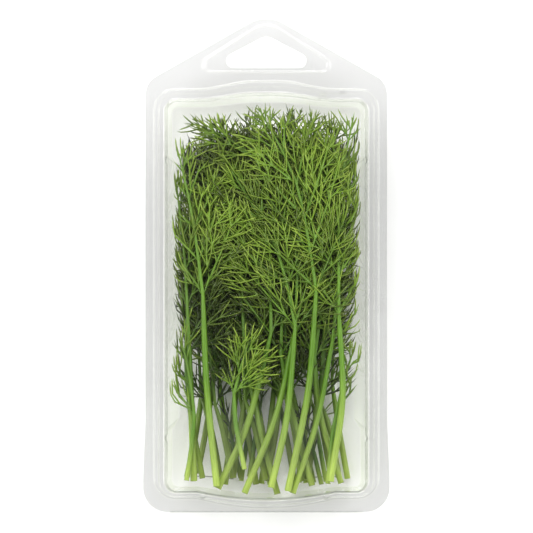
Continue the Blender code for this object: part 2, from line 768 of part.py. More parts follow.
def grow_sprig(sprig, others):
    """One sprig as one body."""
    base = layer_z(sprig)
    height = base + sprig.side * PLUME_OFFSET
    region = sprig_region(sprig, others)
    thick = SHORT_STEM_RADIUS if sprig.short else STEM_RADIUS
    stem = smooth_path([sprig.foot, sprig.bend, sprig.rib[0]], STEM_RINGS)
    neck = neck_y(sprig, others)
    rib = smooth_path([point for point in sprig.rib], 8)
    bm = bmesh.new()
    made = bmesh.ops.create_cone(
        bm, cap_ends=True, segments=STEM_SIDES, radius1=thick, radius2=thick, depth=MM
    )
    caps = [f for f in bm.faces if len(f.verts) == STEM_SIDES]
    top = max(caps, key=lambda f: f.calc_center_median().z)
    ring = list(top.verts)
    ends = [[edge.other_vert(vertex) for edge in vertex.link_edges] for vertex in ring]
    low_ring = [next(end for end in near if end not in ring) for near in ends]

    def stem_ring(point, tangent):
        share = min(1.0, max(0.0, (point.y - sprig.foot.y) / (neck - sprig.foot.y)))
        ease = share * share * (3 - 2 * share)
        radius = thick + (RIB_RADIUS - thick) * share * share
        centre = raised(point, base + (height - base) * ease)
        return ring_points(centre, tangent, radius, STEM_SIDES)

    start = (stem[1] - stem[0]).normalized()
    for vertex, point in zip(low_ring, stem_ring(flat3(stem[0]), flat3(start))):
        vertex.co = point
    tangent = flat3((stem[2] - stem[0]).normalized())
    for vertex, point in zip(ring, stem_ring(flat3(stem[1]), tangent)):
        vertex.co = point
    face = top
    for before, here, after in zip(stem[1:], stem[2:-1], stem[3:]):
        tangent = flat3((after - before).normalized())
        face, ring, _ = extend(bm, face, ring, stem_ring(flat3(here), tangent))
    path = [flat3(point) for point in rib]
    length = path_length(path)
    plan = branch_plan(sprig, path, region)
    places = sorted({place for place, _, _ in plan})
    waiting = []
    for place in places:
        for shift in (-NODE_HALF, NODE_HALF):
            centre, tangent = along(path, place + shift)
            radius = RIB_RADIUS + (RIB_END_RADIUS - RIB_RADIUS) * place / length
            points = ring_points(raised(centre, height), tangent, radius, STEM_SIDES)
            face, ring, sides = extend(bm, face, ring, points)
        for where, side, branch in plan:
            if where == place:
                waiting.append((sides[1 if side > 0 else 3], side, branch))
    point_out(bm, face, raised(path[-1], height))
    for side_face, side, branch in waiting:
        grow_branch(bm, side_face, side, branch, height, region)
    bmesh.ops.triangulate(bm, faces=bm.faces)
    bmesh.ops.recalc_face_normals(bm, faces=bm.faces)
    return finished("sprig_" + sprig.name, bm, sprig_material(sprig), math.radians(50))


def flat3(point):
    return Vector((point.x, point.y, 0.0))


def neck_y(sprig, others):
    """The lowest first node in the sprig's layer, above which its stems are thin."""
    if sprig.short:
        return sprig.rib[0].y
    return min(other.rib[0].y for other in others if other.layer == sprig.layer and not other.short)


def main():
    clear_scene()
    tray()
    lid()
    living_hinge()
    sprigs = front_sprigs() + back_sprigs() + low_sprigs()
    for sprig in sprigs:
        grow_sprig(sprig, sprigs)


main()
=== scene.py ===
"""Dill sprigs in a clear hang-tab clamshell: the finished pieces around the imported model.

Every size is in metres, in the frame of the model: the pack lies on its back, +Y points to the hang
tab and +Z out of the pack's front.
"""

import math
import random
from collections import namedtuple

import bmesh
import bpy
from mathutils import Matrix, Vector


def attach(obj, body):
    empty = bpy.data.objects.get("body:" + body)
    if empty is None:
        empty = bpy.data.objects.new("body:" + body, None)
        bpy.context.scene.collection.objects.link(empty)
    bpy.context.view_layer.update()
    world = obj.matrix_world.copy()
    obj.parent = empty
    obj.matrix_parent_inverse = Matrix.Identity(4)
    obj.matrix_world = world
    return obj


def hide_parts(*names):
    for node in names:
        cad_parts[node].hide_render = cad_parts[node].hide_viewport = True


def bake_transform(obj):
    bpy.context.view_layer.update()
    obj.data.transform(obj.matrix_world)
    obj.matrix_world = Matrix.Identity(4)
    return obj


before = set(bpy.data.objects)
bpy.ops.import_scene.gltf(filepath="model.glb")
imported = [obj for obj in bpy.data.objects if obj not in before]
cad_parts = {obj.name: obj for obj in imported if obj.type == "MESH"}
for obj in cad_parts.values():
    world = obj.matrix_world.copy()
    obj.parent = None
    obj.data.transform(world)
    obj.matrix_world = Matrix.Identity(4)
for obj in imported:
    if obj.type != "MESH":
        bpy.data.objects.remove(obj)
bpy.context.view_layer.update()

bl_info = {
    "name": "Dill Clamshell",
    "version": (1, 0, 0),
    "blender": (4, 5, 0),
    "location": "View3D > Sidebar > Dill Clamshell",
    "description": "Dill sprigs in a clear thermoformed pack, with its studio",
    "category": "Add Mesh",
}

MM = 0.001
PHOTO_PIXELS = 533

# The pack's sizes, as in its solids
PACK_LENGTH = 204.8 * MM
PACK_HEIGHT = 27.0 * MM
HALF_WIDTH = 50.0 * MM
BASE_FLARE = 1.0 * MM
TRAY_RIM_Z = 19.5 * MM
RIM_GAP = 0.3 * MM
LID_RIM_Z = TRAY_RIM_Z + RIM_GAP
RIM_TOP_Y = PACK_LENGTH / 2
PEAK_RADIUS = 13.6 * MM
PEAK_SLOPE = math.radians(29.7)
SHOULDER_RADIUS = 8.6 * MM
LOWER_CORNER_RADIUS = 10.1 * MM
FLARE_START_Y = -64.0 * MM
FLARE_END_Y = -88.0 * MM
HOLE_BASE_Y = 81.9 * MM
HOLE_APEX_Y = 95.2 * MM
HOLE_HALF_SPAN = 26.5 * MM
HOLE_APEX_RADIUS = 5.2 * MM
HOLE_END_RADIUS = 3.2 * MM
RIDGE_BASE_Y = 79.6 * MM
RIDGE_APEX_Y = 100.6 * MM
RIDGE_HALF_SPAN = 36.0 * MM
RIDGE_APEX_RADIUS = 9.5 * MM
RIDGE_END_RADIUS = 3.6 * MM
RIDGE_WIDTH = 1.3 * MM
RIDGE_RISE = 0.5 * MM
RIDGE_NARROWING = 4.4  # how much faster the ridge's long corners draw in than its sides
RIDGE_RAMP = (0.1 * MM, 0.4 * MM)  # start and end, from the ridge's edges
RIDGE_ROUNDING = 0.42 * MM
BUTTON_X = 31.6 * MM
BUTTON_Y = 72.4 * MM
BUTTON_WIDTH = 3.2 * MM
BUTTON_DEPTH = 2.2 * MM
BUTTON_RISE = 2.3 * MM
HINGE_Y = -PACK_LENGTH / 2 + 0.5 * MM
HINGE_Z = TRAY_RIM_Z + RIM_GAP / 2
HINGE_HALF_LENGTH = 40.0 * MM
HINGE_FILM = 0.2 * MM
HINGE_LAP = 0.3 * MM  # how far the folded film reaches into the two flanges
RIM_BOTTOM_Y = HINGE_Y + 0.05 * MM
OUTLINE_HALF_WIDTH = 46.7 * MM
OUTLINE_TOP_Y = 73.4 * MM
OUTLINE_BOTTOM_Y = -96.8 * MM
OUTLINE_RADIUS = 8.9 * MM
TOP_INSET_SHARE = 0.95
BOTTOM_INSET_SHARE = 0.6
TOP_ARCH = 3.3 * MM
BOTTOM_ARCH = 3.9 * MM
ARCH_LOSS = 0.18
ARCH_HALF_SPAN = 28.5 * MM
ARCH_HALF_PLATEAU = 5.5 * MM
LEAST_RADIUS = 1.5 * MM
BEAD_RISE = 1.6 * MM
BEAD_WIDTH = 1.9 * MM
BEAD_RUN = 0.4 * MM
LAND_RISE = 0.8 * MM
WALL_START = 4.3 * MM
WINDOW_INSET = 5.8 * MM
BASE_INSET = 7.1 * MM
BASE_ROUND = 1.2 * MM
WAIST_PINCH = 3.0 * MM
WAIST_TOP_Y = 41.0 * MM
WAIST_BOTTOM_Y = -63.5 * MM
WAIST_RAMP = 5.0 * MM
DIMPLE_INSET = 14.0 * MM
DIMPLE_DEPTH = 0.8 * MM
DIMPLE_RAMP = 3.0 * MM

# Flat strips beside the formed steps, for their roundings to end in
EDGE_STRIP = 1.0 * MM
DIMPLE_STRIP = 1.2 * MM
WINDOW_STRIP = 2.0 * MM

# Small details of the lid's wall: half-round bosses at its foot, and nicks in its upper edge
BOSS_RADIUS = 1.7 * MM
BOSS_RISE = 3.6 * MM  # above the land
TOP_BOSSES = (23.3 * MM,)
BOTTOM_BOSSES = (-26.4 * MM, 25.2 * MM)
NICKS = (-71.2 * MM, 43.8 * MM)
NICK_HALF = 1.8 * MM
NICK_DEPTH = 1.2 * MM

# How finely the sheets are drawn
CORNER_STEPS = 12
ARCH_STEPS = 44
BOSS_STEPS = 12
TRAY_SIDES = (WAIST_BOTTOM_Y - WAIST_RAMP, WAIST_BOTTOM_Y, WAIST_TOP_Y, WAIST_TOP_Y + WAIST_RAMP)
LID_SIDES = tuple(y + shift for y in NICKS for shift in (-NICK_HALF, 0.0, NICK_HALF))
CREASE_ANGLE = math.radians(25)  # folds sharper than this stay crisp
ROUND_STEPS = 4
HINGE_STEPS = 12
FLAT_MARGIN = 0.25 * MM  # flat strip next to the ridge's rounding, so that the flat beyond it shades flat
MERGE_DISTANCE = 0.0005 * MM

# The clear sheet: where its tints lie, as one minus the cosine of the angle off square, and its patterns
SLANT_STOP = 0.45
STEEP_STOP = 0.68
EDGE_STOP = 0.86
GLANCING_TINT = "#404040"
UNDRAWN_ABOVE = (26.0 * MM, 21.0 * MM)  # the heights between which the flange's haze sets in
UNDRAWN_BELOW = (8.0 * MM, 19.0 * MM)
WAVE_SPACING = 11.76 * MM
MIST_SPACING = 16.67 * MM
MIST_TOP = (-54.0 * MM, -66.0 * MM)  # along the pack, where the mist sets in and where it is full
MIST_FOOT = (-91.0 * MM, -80.0 * MM)
MIST_SIDES = (33.0 * MM, 12.0 * MM)

# The dill's sizes and places, as in its solids
LAYER_PITCH = 3.0 * MM
FIRST_LAYER_Z = 3.3 * MM
PLUME_OFFSET = 0.75 * MM
SPLIT_GAP = 0.7 * MM
SIDE_LIMIT_LOW = 35.2 * MM
SIDE_LIMIT_HIGH = 39.4 * MM
SIDE_LIMIT_SLOPE = 0.25
TOP_LIMIT_Y = 66.3 * MM
TOP_LIMIT_ARCH = 2.4 * MM
LOWEST_LEAF_Z = 2.0 * MM
HIGHEST_LEAF_Z = 26.0 * MM
BENDING_ROOM = 10.0 * MM  # this close to a side of the pack a thread starts to bend along it
THIN_FROM = 24.0 * MM  # from the middle, where the leaves start to thin out
THIN_RATE = 0.04 / MM
MOST_MISSING = 0.45
HIDDEN_MISSING = 0.2
NODE_HALF = 0.45 * MM
BRANCH_SHARE = 0.6
BRANCH_ANGLE = math.radians(33)
BRANCH_BEND = math.radians(9)

# name, layer, side of the layer, pairs of branches, foot, bend, first pair, middle, tip, in mm
FRONT_SPRIGS = (
    ("front_left", 7, 1, 5, (-20.5, -91.0), (-24.6, -50.0), (-26.2, -12.0), (-30.5, 20.0), (-37.0, 50.0)),
    ("front_middle", 7, -1, 5, (2.0, -91.5), (8.6, -62.0), (12.0, -25.0), (4.0, 8.0), (-16.0, 42.0)),
    ("front_tall", 7, 1, 6, (8.9, -93.0), (17.2, -52.0), (20.7, -10.0), (12.5, 34.0), (-4.0, 67.0)),
    ("front_right", 7, -1, 6, (26.5, -89.0), (31.5, -55.0), (30.0, -20.0), (30.5, 30.0), (36.5, 64.0)),
    ("second_left", 6, 1, 5, (-30.0, -89.0), (-31.0, -60.0), (-32.0, -31.0), (-34.0, 5.0), (-37.5, 36.0)),
    ("second_arching", 6, -1, 6, (-20.0, -92.0), (-8.0, -66.0), (2.0, -28.0), (-2.0, 40.0), (-31.0, 60.0)),
    ("second_middle", 6, 1, 6, (-9.0, -94.0), (4.0, -62.0), (12.0, -27.0), (14.0, 20.0), (20.0, 64.0)),
    ("second_right", 6, -1, 5, (11.0, -94.0), (21.0, -64.0), (27.5, -31.0), (31.0, 5.0), (36.0, 44.0)),
    ("third_left", 5, 1, 4, (-26.5, -88.0), (-31.0, -64.0), (-33.5, -39.0), (-33.0, 0.0), (-37.0, 24.0)),
    ("third_middle", 5, -1, 6, (4.6, -94.5), (-2.5, -68.0), (-9.0, -36.0), (-12.0, 10.0), (-20.0, 62.0)),
    ("third_tall", 5, 1, 6, (19.0, -91.0), (11.0, -62.0), (6.0, -37.0), (8.0, 20.0), (11.0, 67.0)),
    ("third_right", 5, -1, 6, (31.0, -90.0), (22.5, -62.0), (20.0, -38.0), (27.0, 15.0), (27.0, 65.0)),
    ("short_left", 7, 0, 3, (-33.0, -88.5), (-30.8, -74.0), (-29.7, -62.0), (-31.5, -47.0), (-35.5, -29.0)),
    ("short_middle", 7, 0, 3, (-9.0, -84.0), (-12.5, -66.0), (-13.5, -53.0), (-10.5, -42.0), (-7.0, -29.5)),
    ("short_right", 6, 0, 3, (25.5, -90.0), (27.5, -70.0), (29.5, -59.0), (32.0, -48.0), (36.0, -35.0)),
)
BACK_NECKS = (-50.0, -42.0, -58.0, -46.0, -60.0)  # mm, lowest branches of each layer behind
BACK_SHIFTS = (7.0, -6.0, 1.0, -3.0, 4.0)  # mm, of each such layer's columns to the right
BACK_PITCH = 15.5  # mm
BACK_LEAN = 7.0  # mm, from a stem's foot to its neck
LOW_GAPS = ((1,), (0,), (-1, 1), (0,), (1,))  # gaps between such stems that hold a short sprig
LOW_LEAF = 17.0  # mm, from such a sprig's first pair to its layer's neck

# How finely the dill is grown
STEM_SIDES = 10
BRANCH_SIDES = 6
TWIG_SIDES = 4
FINE_LAYERS = (0, 5, 6, 7)  # the layers that show from the back and the front
LAYER_PAINTED_SHADES = (0.6, 0.3, 0.05, 0.0, 0.1, 0.34, 0.6, 0.8)  # painted shade: inner layers are drawn darker where less light reaches them, front layers lighter
GRAIN_RUN = 40.0  # how fast the stem's grain changes along it, a metre, against a turn round it

# How branches divide into twigs, and twigs into threads. A pair is drawn between its two values.
TWIG_TURN = (24, 38)  # degrees
TWIG_BEND = (10, 28)
LONGEST_TWIG = 22.0 * MM
LONGEST_CROWN_TWIG = 14.0 * MM
TWIG_SPACING = 8.8  # mm, at a branch's root
TWIG_CROWDING = 2.8  # mm closer at its tip
SHORT_SPRIG_PITCH = 0.55  # a short sprig's twigs stand closer
THREAD_TURN = (20, 36)
THREAD_BEND = (10, 34)
LONGEST_THREAD = 12.5 * MM
THREAD_SPACING = (4.5, 6.4)  # mm
BARE_BRANCH_END = 3.0 * MM
BARE_TWIG_END = 2.2 * MM
LEAST_BRANCH = 4.0 * MM

# The studio
FLOOR_HALF_WIDTH = 3.0
FLOOR_DROP = 0.15 * MM  # below the base, so that the two don't share a plane
KEY_PLACE = (-0.1, 0.85, 1.35)
SIDE_PLACE = (1.05, 0.1, 1.1)
GLINT_PLACE = (-0.85, -0.85, 0.95)
CAMERA_SHIFT = (0.2, -0.5)  # pixels, off the pack's middle as the photograph is

Sprig = namedtuple("Sprig", "name layer side foot bend rib pairs short")


class PackSettings(bpy.types.PropertyGroup):
    """Sizes and colours of the clear sheet."""

    sheet: bpy.props.FloatProperty(
        name="Sheet thickness", description="Of the formed tray and lid", default=0.35 * MM, unit="LENGTH"
    )
    rounding: bpy.props.FloatProperty(
        name="Edge rounding",
        description="Of formed steps, more than the sheet",
        default=0.45 * MM,
        unit="LENGTH",
    )
    tint: bpy.props.StringProperty(
        name="Straight tint", description="Light that one face lets straight through", default="#FEFEFE"
    )
    slant_tint: bpy.props.StringProperty(
        name="Slant tint", description="Light that one face lets through at 57 degrees", default="#FCFCFB"
    )
    lid_steep_tint: bpy.props.StringProperty(
        name="Lid steep tint",
        description="Light that a face of the lid lets through at 71 degrees",
        default="#F1F2EF",
    )
    lid_edge_tint: bpy.props.StringProperty(
        name="Lid edge tint",
        description="Light that a face of the lid lets through at 82 degrees",
        default="#C8CAC4",
    )
    tray_steep_tint: bpy.props.StringProperty(
        name="Tray steep tint",
        description="Light that a face of the tray lets through at 71 degrees",
        default="#F3F4F1",
    )
    tray_edge_tint: bpy.props.StringProperty(
        name="Tray edge tint",
        description="Light that a face of the tray lets through at 82 degrees",
        default="#D4D6D0",
    )
    flange_tint: bpy.props.StringProperty(
        name="Flange tint", description="What the undrawn sheet takes away besides", default="#F7F7F7"
    )
    waves: bpy.props.FloatProperty(
        name="Waves", description="Strength of the waves in the sheet's reflections", default=0.05, min=0.0
    )
    haze: bpy.props.FloatProperty(
        name="Mist",
        description="Whiteness of the mist inside the lid, low on the front",
        default=0.028,
        min=0.0,
        max=1.0,
    )


class DillSettings(bpy.types.PropertyGroup):
    """Sizes and colours of the sprigs."""

    stem_radius: bpy.props.FloatProperty(
        name="Stem radius", description="At the cut end", default=1.48 * MM, unit="LENGTH"
    )
    rib_radius: bpy.props.FloatProperty(
        name="Rib radius", description="At the lowest branches", default=0.66 * MM, unit="LENGTH"
    )
    branch_radius: bpy.props.FloatProperty(
        name="Branch radius", description="Where a branch leaves the rib", default=0.52 * MM, unit="LENGTH"
    )
    twig_radius: bpy.props.FloatProperty(
        name="Twig radius", description="Where a twig leaves its branch", default=0.4 * MM, unit="LENGTH"
    )
    thread_radius: bpy.props.FloatProperty(
        name="Thread radius", description="Of a leaf thread, near its root", default=0.36 * MM, unit="LENGTH"
    )
    foot_colour: bpy.props.StringProperty(
        name="Cut end", description="Colour where the stem is cut", default="#96AC4C"
    )
    stem_colour: bpy.props.StringProperty(
        name="Stem", description="Colour of the stem", default="#507814"
    )
    rib_colour: bpy.props.StringProperty(
        name="Rib", description="Colour of the rib and the branches", default="#587924"
    )
    leaf_colour: bpy.props.StringProperty(
        name="Leaf", description="Colour of the leaf threads", default="#688120"
    )
    tip_colour: bpy.props.StringProperty(
        name="Thread tip", description="Colour of the outermost threads", default="#8C9F45"
    )


class StudioSettings(bpy.types.PropertyGroup):
    """The camera's distance, and the floor and lights."""

    camera_height: bpy.props.FloatProperty(
        name="Camera height", description="Above the pack's flange", default=1.6, unit="LENGTH"
    )
    frame_width: bpy.props.FloatProperty(
        name="Frame width", description="Width seen at the pack's flange", default=0.2210, unit="LENGTH"
    )
    floor_colour: bpy.props.StringProperty(
        name="Floor", description="Colour of the floor", default="#FFFFFF"
    )
    key_power: bpy.props.FloatProperty(
        name="Key light", description="Power in watts", default=14.0, min=0.0
    )
    side_power: bpy.props.FloatProperty(
        name="Side lights", description="Power of each in watts", default=8.6, min=0.0
    )
    glint_power: bpy.props.FloatProperty(
        name="Glint light", description="Power in watts", default=1.8, min=0.0
    )
    sky: bpy.props.FloatProperty(
        name="Surroundings", description="Strength of the pale room's walls", default=0.9, min=0.0
    )
    ceiling: bpy.props.FloatProperty(
        name="Ceiling", description="Strength of the room straight above", default=0.05, min=0.0
    )


# Small sums


def clamp(value, low=0.0, high=1.0):
    """The value, held between two limits."""
    return min(high, max(low, value))


def eased(share):
    """A share from 0 to 1 that starts and ends gently."""
    return share * share * (3 - 2 * share)


# Colours and shader nodes


def linear(hex_colour):
    """A colour such as #88AA44 as linear red, green, blue and an alpha of 1."""
    channels = [int(hex_colour[n : n + 2], 16) / 255 for n in (1, 3, 5)]
    return [c / 12.92 if c <= 0.04045 else ((c + 0.055) / 1.055) ** 2.4 for c in channels] + [1.0]


def add_node(tree, kind, settings=None, **links):
    """Adds a node. Settings name its attributes or sockets, and links join its sockets to outputs."""
    node = tree.nodes.new(kind)
    for name, value in (settings or {}).items():
        if isinstance(name, int) or name in node.inputs:
            node.inputs[name].default_value = value
        else:
            setattr(node, name, value)
    for name, output in links.items():
        socket = int(name[1:]) if name.startswith("_") else name.replace("_", " ")
        tree.links.new(output, node.inputs[socket])
    return node


def new_material(name):
    """An empty material and its node tree."""
    made = bpy.data.materials.new(name)
    made.use_nodes = True
    made.node_tree.nodes.clear()
    return made, made.node_tree


def clear_sheet_material(name, pack, steep, edge, misty=False):
    """Clear amorphous polyester sheet, vacuum formed: crisp highlights, a faint grey where seen at a slant.

    Light passes it unbent, because both faces of so thin a sheet bend it back. The flange keeps the
    sheet's first thickness and its faint haze, and the drawn parts are thinner and clearer. The slight
    waves that forming leaves move only its reflections.
    """
    made, tree = new_material(name)
    place = add_node(tree, "ShaderNodeTexCoord").outputs["Object"]
    waves = add_node(
        tree,
        "ShaderNodeTexNoise",
        {"Scale": 1 / WAVE_SPACING, "Detail": 2.0, "Roughness": 0.4},
        Vector=place,
    )
    bump = add_node(
        tree, "ShaderNodeBump", {"Strength": pack.waves, "Distance": 0.4 * MM}, Height=waves.outputs["Fac"]
    )
    slant = add_node(tree, "ShaderNodeLayerWeight", {"Blend": 0.5})
    # One face lets nearly all through up to some 57 degrees off square, and then less and less.
    tint = add_node(tree, "ShaderNodeValToRGB", None, Fac=slant.outputs["Facing"])
    stops = tint.color_ramp.elements
    stops[0].position = 0.0
    stops[0].color = linear(pack.tint)
    stops[1].position = 1.0
    stops[1].color = linear(GLANCING_TINT)
    for position, colour in ((SLANT_STOP, pack.slant_tint), (STEEP_STOP, steep), (EDGE_STOP, edge)):
        stops.new(position).color = linear(colour)
    height = add_node(tree, "ShaderNodeSeparateXYZ", None, Vector=place).outputs["Z"]
    nearness = [
        add_node(tree, "ShaderNodeMapRange", {"From Min": start, "From Max": full}, Value=height)
        for start, full in (UNDRAWN_ABOVE, UNDRAWN_BELOW)
    ]
    undrawn = add_node(
        tree,
        "ShaderNodeMath",
        {"operation": "MULTIPLY"},
        _0=nearness[0].outputs["Result"],
        _1=nearness[1].outputs["Result"],
    )
    clear = add_node(
        tree,
        "ShaderNodeMix",
        {"data_type": "RGBA", "blend_type": "MULTIPLY", 7: linear(pack.flange_tint)},
        Factor=undrawn.outputs["Value"],
        _6=tint.outputs["Color"],
    ).outputs[2]
    gloss = add_node(
        tree,
        "ShaderNodeBsdfPrincipled",
        {"Base Color": linear("#000000"), "Roughness": 0.07, "IOR": 1.7},
        Normal=bump.outputs["Normal"],
    )
    if misty:
        mist = mist_amount(tree, place, pack.haze)
        clear = add_node(
            tree, "ShaderNodeMix", {"data_type": "RGBA", 7: linear("#000000")}, Factor=mist, _6=clear
        ).outputs[2]
        white = add_node(
            tree,
            "ShaderNodeMix",
            {"data_type": "RGBA", 6: linear("#000000"), 7: linear("#FFFFFF")},
            Factor=mist,
        )
        tree.links.new(white.outputs[2], gloss.inputs["Base Color"])
    through = add_node(tree, "ShaderNodeBsdfTransparent", None, Color=clear)
    # Light isn't bent on its way in, so a sheet's far face would reflect too much of it: it has no gloss.
    behind = add_node(tree, "ShaderNodeNewGeometry").outputs["Backfacing"]
    near = add_node(tree, "ShaderNodeMixShader", None, Fac=behind, _1=gloss.outputs["BSDF"])
    both = add_node(tree, "ShaderNodeAddShader", None, _0=through.outputs["BSDF"], _1=near.outputs["Shader"])
    add_node(tree, "ShaderNodeOutputMaterial", None, Surface=both.outputs["Shader"])
    return made


def mist_amount(tree, place, most):
    """Fine mist on the inside of the window over the stems: a soft-edged patch with a cloudy density."""
    split = add_node(tree, "ShaderNodeSeparateXYZ", None, Vector=place)
    aside = add_node(tree, "ShaderNodeMath", {"operation": "ABSOLUTE"}, _0=split.outputs["X"])
    cloud = add_node(tree, "ShaderNodeTexNoise", {"Scale": 1 / MIST_SPACING, "Detail": 3.0}, Vector=place)
    density = add_node(
        tree,
        "ShaderNodeMapRange",
        {"From Min": 0.35, "From Max": 0.7, "To Min": 0.55, "To Max": 1.0},
        Value=cloud.outputs["Fac"],
    )
    amount = density.outputs["Result"]
    for reach, (start, full), least, greatest in (
        (split.outputs["Y"], MIST_TOP, 0.0, most),
        (split.outputs["Y"], MIST_FOOT, 0.0, 1.0),
        (aside.outputs["Value"], MIST_SIDES, 0.15, 1.0),
    ):
        edge = add_node(
            tree,
            "ShaderNodeMapRange",
            {
                "interpolation_type": "SMOOTHSTEP",
                "From Min": start,
                "From Max": full,
                "To Min": least,
                "To Max": greatest,
            },
            Value=reach,
        )
        product = add_node(
            tree, "ShaderNodeMath", {"operation": "MULTIPLY"}, _0=amount, _1=edge.outputs["Result"]
        )
        amount = product.outputs["Value"]
    return amount


def dill_material(dill):
    """Fresh dill: smooth waxy stems with fine lengthwise grooves, and soft threads a little deeper green.

    The growth attribute runs from 0 at the cut end to 1 on the threads, with each branch's painted shade
    (darker deep in the pack, lighter in front) plus a random tone of its own, and how near a point is to its
    tip. The grain attribute follows the stem, so the grooves do too.
    """
    made, tree = new_material("fresh_dill")
    growth = add_node(tree, "ShaderNodeAttribute", {"attribute_name": "growth"})
    parts = add_node(tree, "ShaderNodeSeparateXYZ", None, Vector=growth.outputs["Vector"])
    ramp = add_node(tree, "ShaderNodeValToRGB", None, Fac=parts.outputs["X"])
    stops = ramp.color_ramp.elements
    stops[0].position = 0.0
    stops[0].color = linear(dill.foot_colour)
    stops[1].position = 1.0
    stops[1].color = linear(dill.leaf_colour)
    for position, colour in ((0.2, dill.stem_colour), (0.55, dill.rib_colour)):
        stops.new(position).color = linear(colour)
    tips = add_node(
        tree,
        "ShaderNodeMapRange",
        {"From Min": 0.3, "From Max": 1.0, "To Max": 0.75},
        Value=parts.outputs["Z"],
    )
    with_tips = add_node(
        tree,
        "ShaderNodeMix",
        {"data_type": "RGBA", 7: linear(dill.tip_colour)},
        Factor=tips.outputs["Result"],
        _6=ramp.outputs["Color"],
    )
    # Painted shade: deep in the pack the leaves are darkened much and the stems little, and the front
    # layers are painted lighter, up to half as bright again.
    least = add_node(
        tree,
        "ShaderNodeMapRange",
        {"From Min": 0.3, "From Max": 0.6, "To Min": 0.68, "To Max": 0.15},
        Value=parts.outputs["X"],
    )
    shade = add_node(
        tree,
        "ShaderNodeMapRange",
        {"To Max": 1.5},
        Value=parts.outputs["Y"],
        To_Min=least.outputs["Result"],
    )
    grain = add_node(tree, "ShaderNodeAttribute", {"attribute_name": "grain"})
    # About five pale grooves round a 2.4 mm stem, drawn coarser than real ones so that they show.
    grooves = add_node(
        tree,
        "ShaderNodeTexNoise",
        {"Scale": 2.6, "Detail": 2.0, "Roughness": 0.6},
        Vector=grain.outputs["Vector"],
    )
    streak = add_node(
        tree,
        "ShaderNodeMapRange",
        {"From Min": 0.3, "From Max": 0.7, "To Min": 0.8, "To Max": 1.2},
        Value=grooves.outputs["Fac"],
    )
    light = add_node(
        tree,
        "ShaderNodeMath",
        {"operation": "MULTIPLY"},
        _0=shade.outputs["Result"],
        _1=streak.outputs["Result"],
    )
    colour = add_node(
        tree,
        "ShaderNodeVectorMath",
        {"operation": "SCALE"},
        _0=with_tips.outputs[2],
        Scale=light.outputs["Value"],
    )
    bump = add_node(
        tree, "ShaderNodeBump", {"Strength": 0.3, "Distance": 0.1 * MM}, Height=grooves.outputs["Fac"]
    )
    shader = add_node(
        tree,
        "ShaderNodeBsdfPrincipled",
        {"Roughness": 0.4, "IOR": 1.45, "Specular IOR Level": 0.55},
        Base_Color=colour.outputs["Vector"],
        Normal=bump.outputs["Normal"],
    )
    add_node(tree, "ShaderNodeOutputMaterial", None, Surface=shader.outputs["BSDF"])
    return made


# Pieces


def new_object(name, bm, finish):
    """An object made of a bmesh, with its material."""
    mesh = bpy.data.meshes.new(name)
    bm.to_mesh(mesh)
    bm.free()
    mesh.materials.append(finish)
    made = bpy.data.objects.new(name, mesh)
    bpy.context.scene.collection.objects.link(made)
    return made


def piece_from(name, bm, finish, body, nodes=(), blend=None):
    """A finished piece of the object, riding on its body in place of the named solids."""
    piece = new_object(name, bm, finish)
    if blend:
        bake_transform(piece)
    else:
        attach(piece, body)
    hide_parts(*nodes)
    return piece


# Outlines of the formed sheets


def arc_corner(before, corner, after, radius, steps):
    """The points of a round corner of that radius, from one side of a polygon to the next."""
    into = (corner - before).normalized()
    out = (after - corner).normalized()
    turn = into.angle(out)
    reach = radius * math.tan(turn / 2)
    centre = corner + (out - into).normalized() * (radius / math.cos(turn / 2))
    start = corner - into * reach - centre
    end = corner + out * reach - centre
    points = []
    for step in range(steps + 1):
        share = step / steps
        blend = start * math.sin((1 - share) * turn) + end * math.sin(share * turn)
        points.append(centre + blend / math.sin(turn))
    return points


def rounded(corners, closed=True):
    """An outline through (point, radius, steps) corners. An open one keeps its two ends sharp."""
    points = []
    for index, (corner, radius, steps) in enumerate(corners):
        at_end = not closed and index in (0, len(corners) - 1)
        if radius and not at_end:
            before = corners[index - 1][0]
            after = corners[(index + 1) % len(corners)][0]
            points += arc_corner(before, corner, after, radius, steps)
        else:
            points.append(corner)
    return points


def rim_outline():
    """The flange's edge, anticlockwise: a house shape with a blunt peak."""
    virtual_peak = RIM_TOP_Y + PEAK_RADIUS * (1 / math.cos(PEAK_SLOPE) - 1)
    shoulder = virtual_peak - HALF_WIDTH * math.tan(PEAK_SLOPE)
    wide = HALF_WIDTH + BASE_FLARE
    right = [
        (Vector((wide, RIM_BOTTOM_Y)), LOWER_CORNER_RADIUS, 16),
        (Vector((wide, FLARE_END_Y)), 20 * MM, 4),
        (Vector((HALF_WIDTH, FLARE_START_Y)), 20 * MM, 4),
        (Vector((HALF_WIDTH, shoulder)), SHOULDER_RADIUS, 12),
    ]
    left = [(Vector((-point.x, point.y)), radius, steps) for point, radius, steps in right]
    return rounded(right + [(Vector((0, virtual_peak)), PEAK_RADIUS, 16)] + left[::-1])


def low_triangle(base_y, apex_y, half_span, apex_radius, end_radius):
    """A low triangle with rounded corners, anticlockwise. Its apex is stated as it is after rounding."""
    slope = math.atan2(apex_y - base_y, half_span)
    lift = apex_radius * (1 / math.cos(slope) - 1)
    return rounded(
        [
            (Vector((half_span, base_y)), end_radius, 14),
            (Vector((0, apex_y + lift)), apex_radius, 12),
            (Vector((-half_span, base_y)), end_radius, 14),
        ]
    )


def hang_hole():
    """The hang hole's edge."""
    return low_triangle(HOLE_BASE_Y, HOLE_APEX_Y, HOLE_HALF_SPAN, HOLE_APEX_RADIUS, HOLE_END_RADIUS)


def ridge_outline(inset):
    """The edge of the ridge round the hang hole, drawn in by an inset."""
    return low_triangle(
        RIDGE_BASE_Y + inset,
        RIDGE_APEX_Y - inset,
        RIDGE_HALF_SPAN - RIDGE_NARROWING * inset,
        RIDGE_APEX_RADIUS - inset,
        max(0.6 * MM, RIDGE_END_RADIUS - inset),
    )


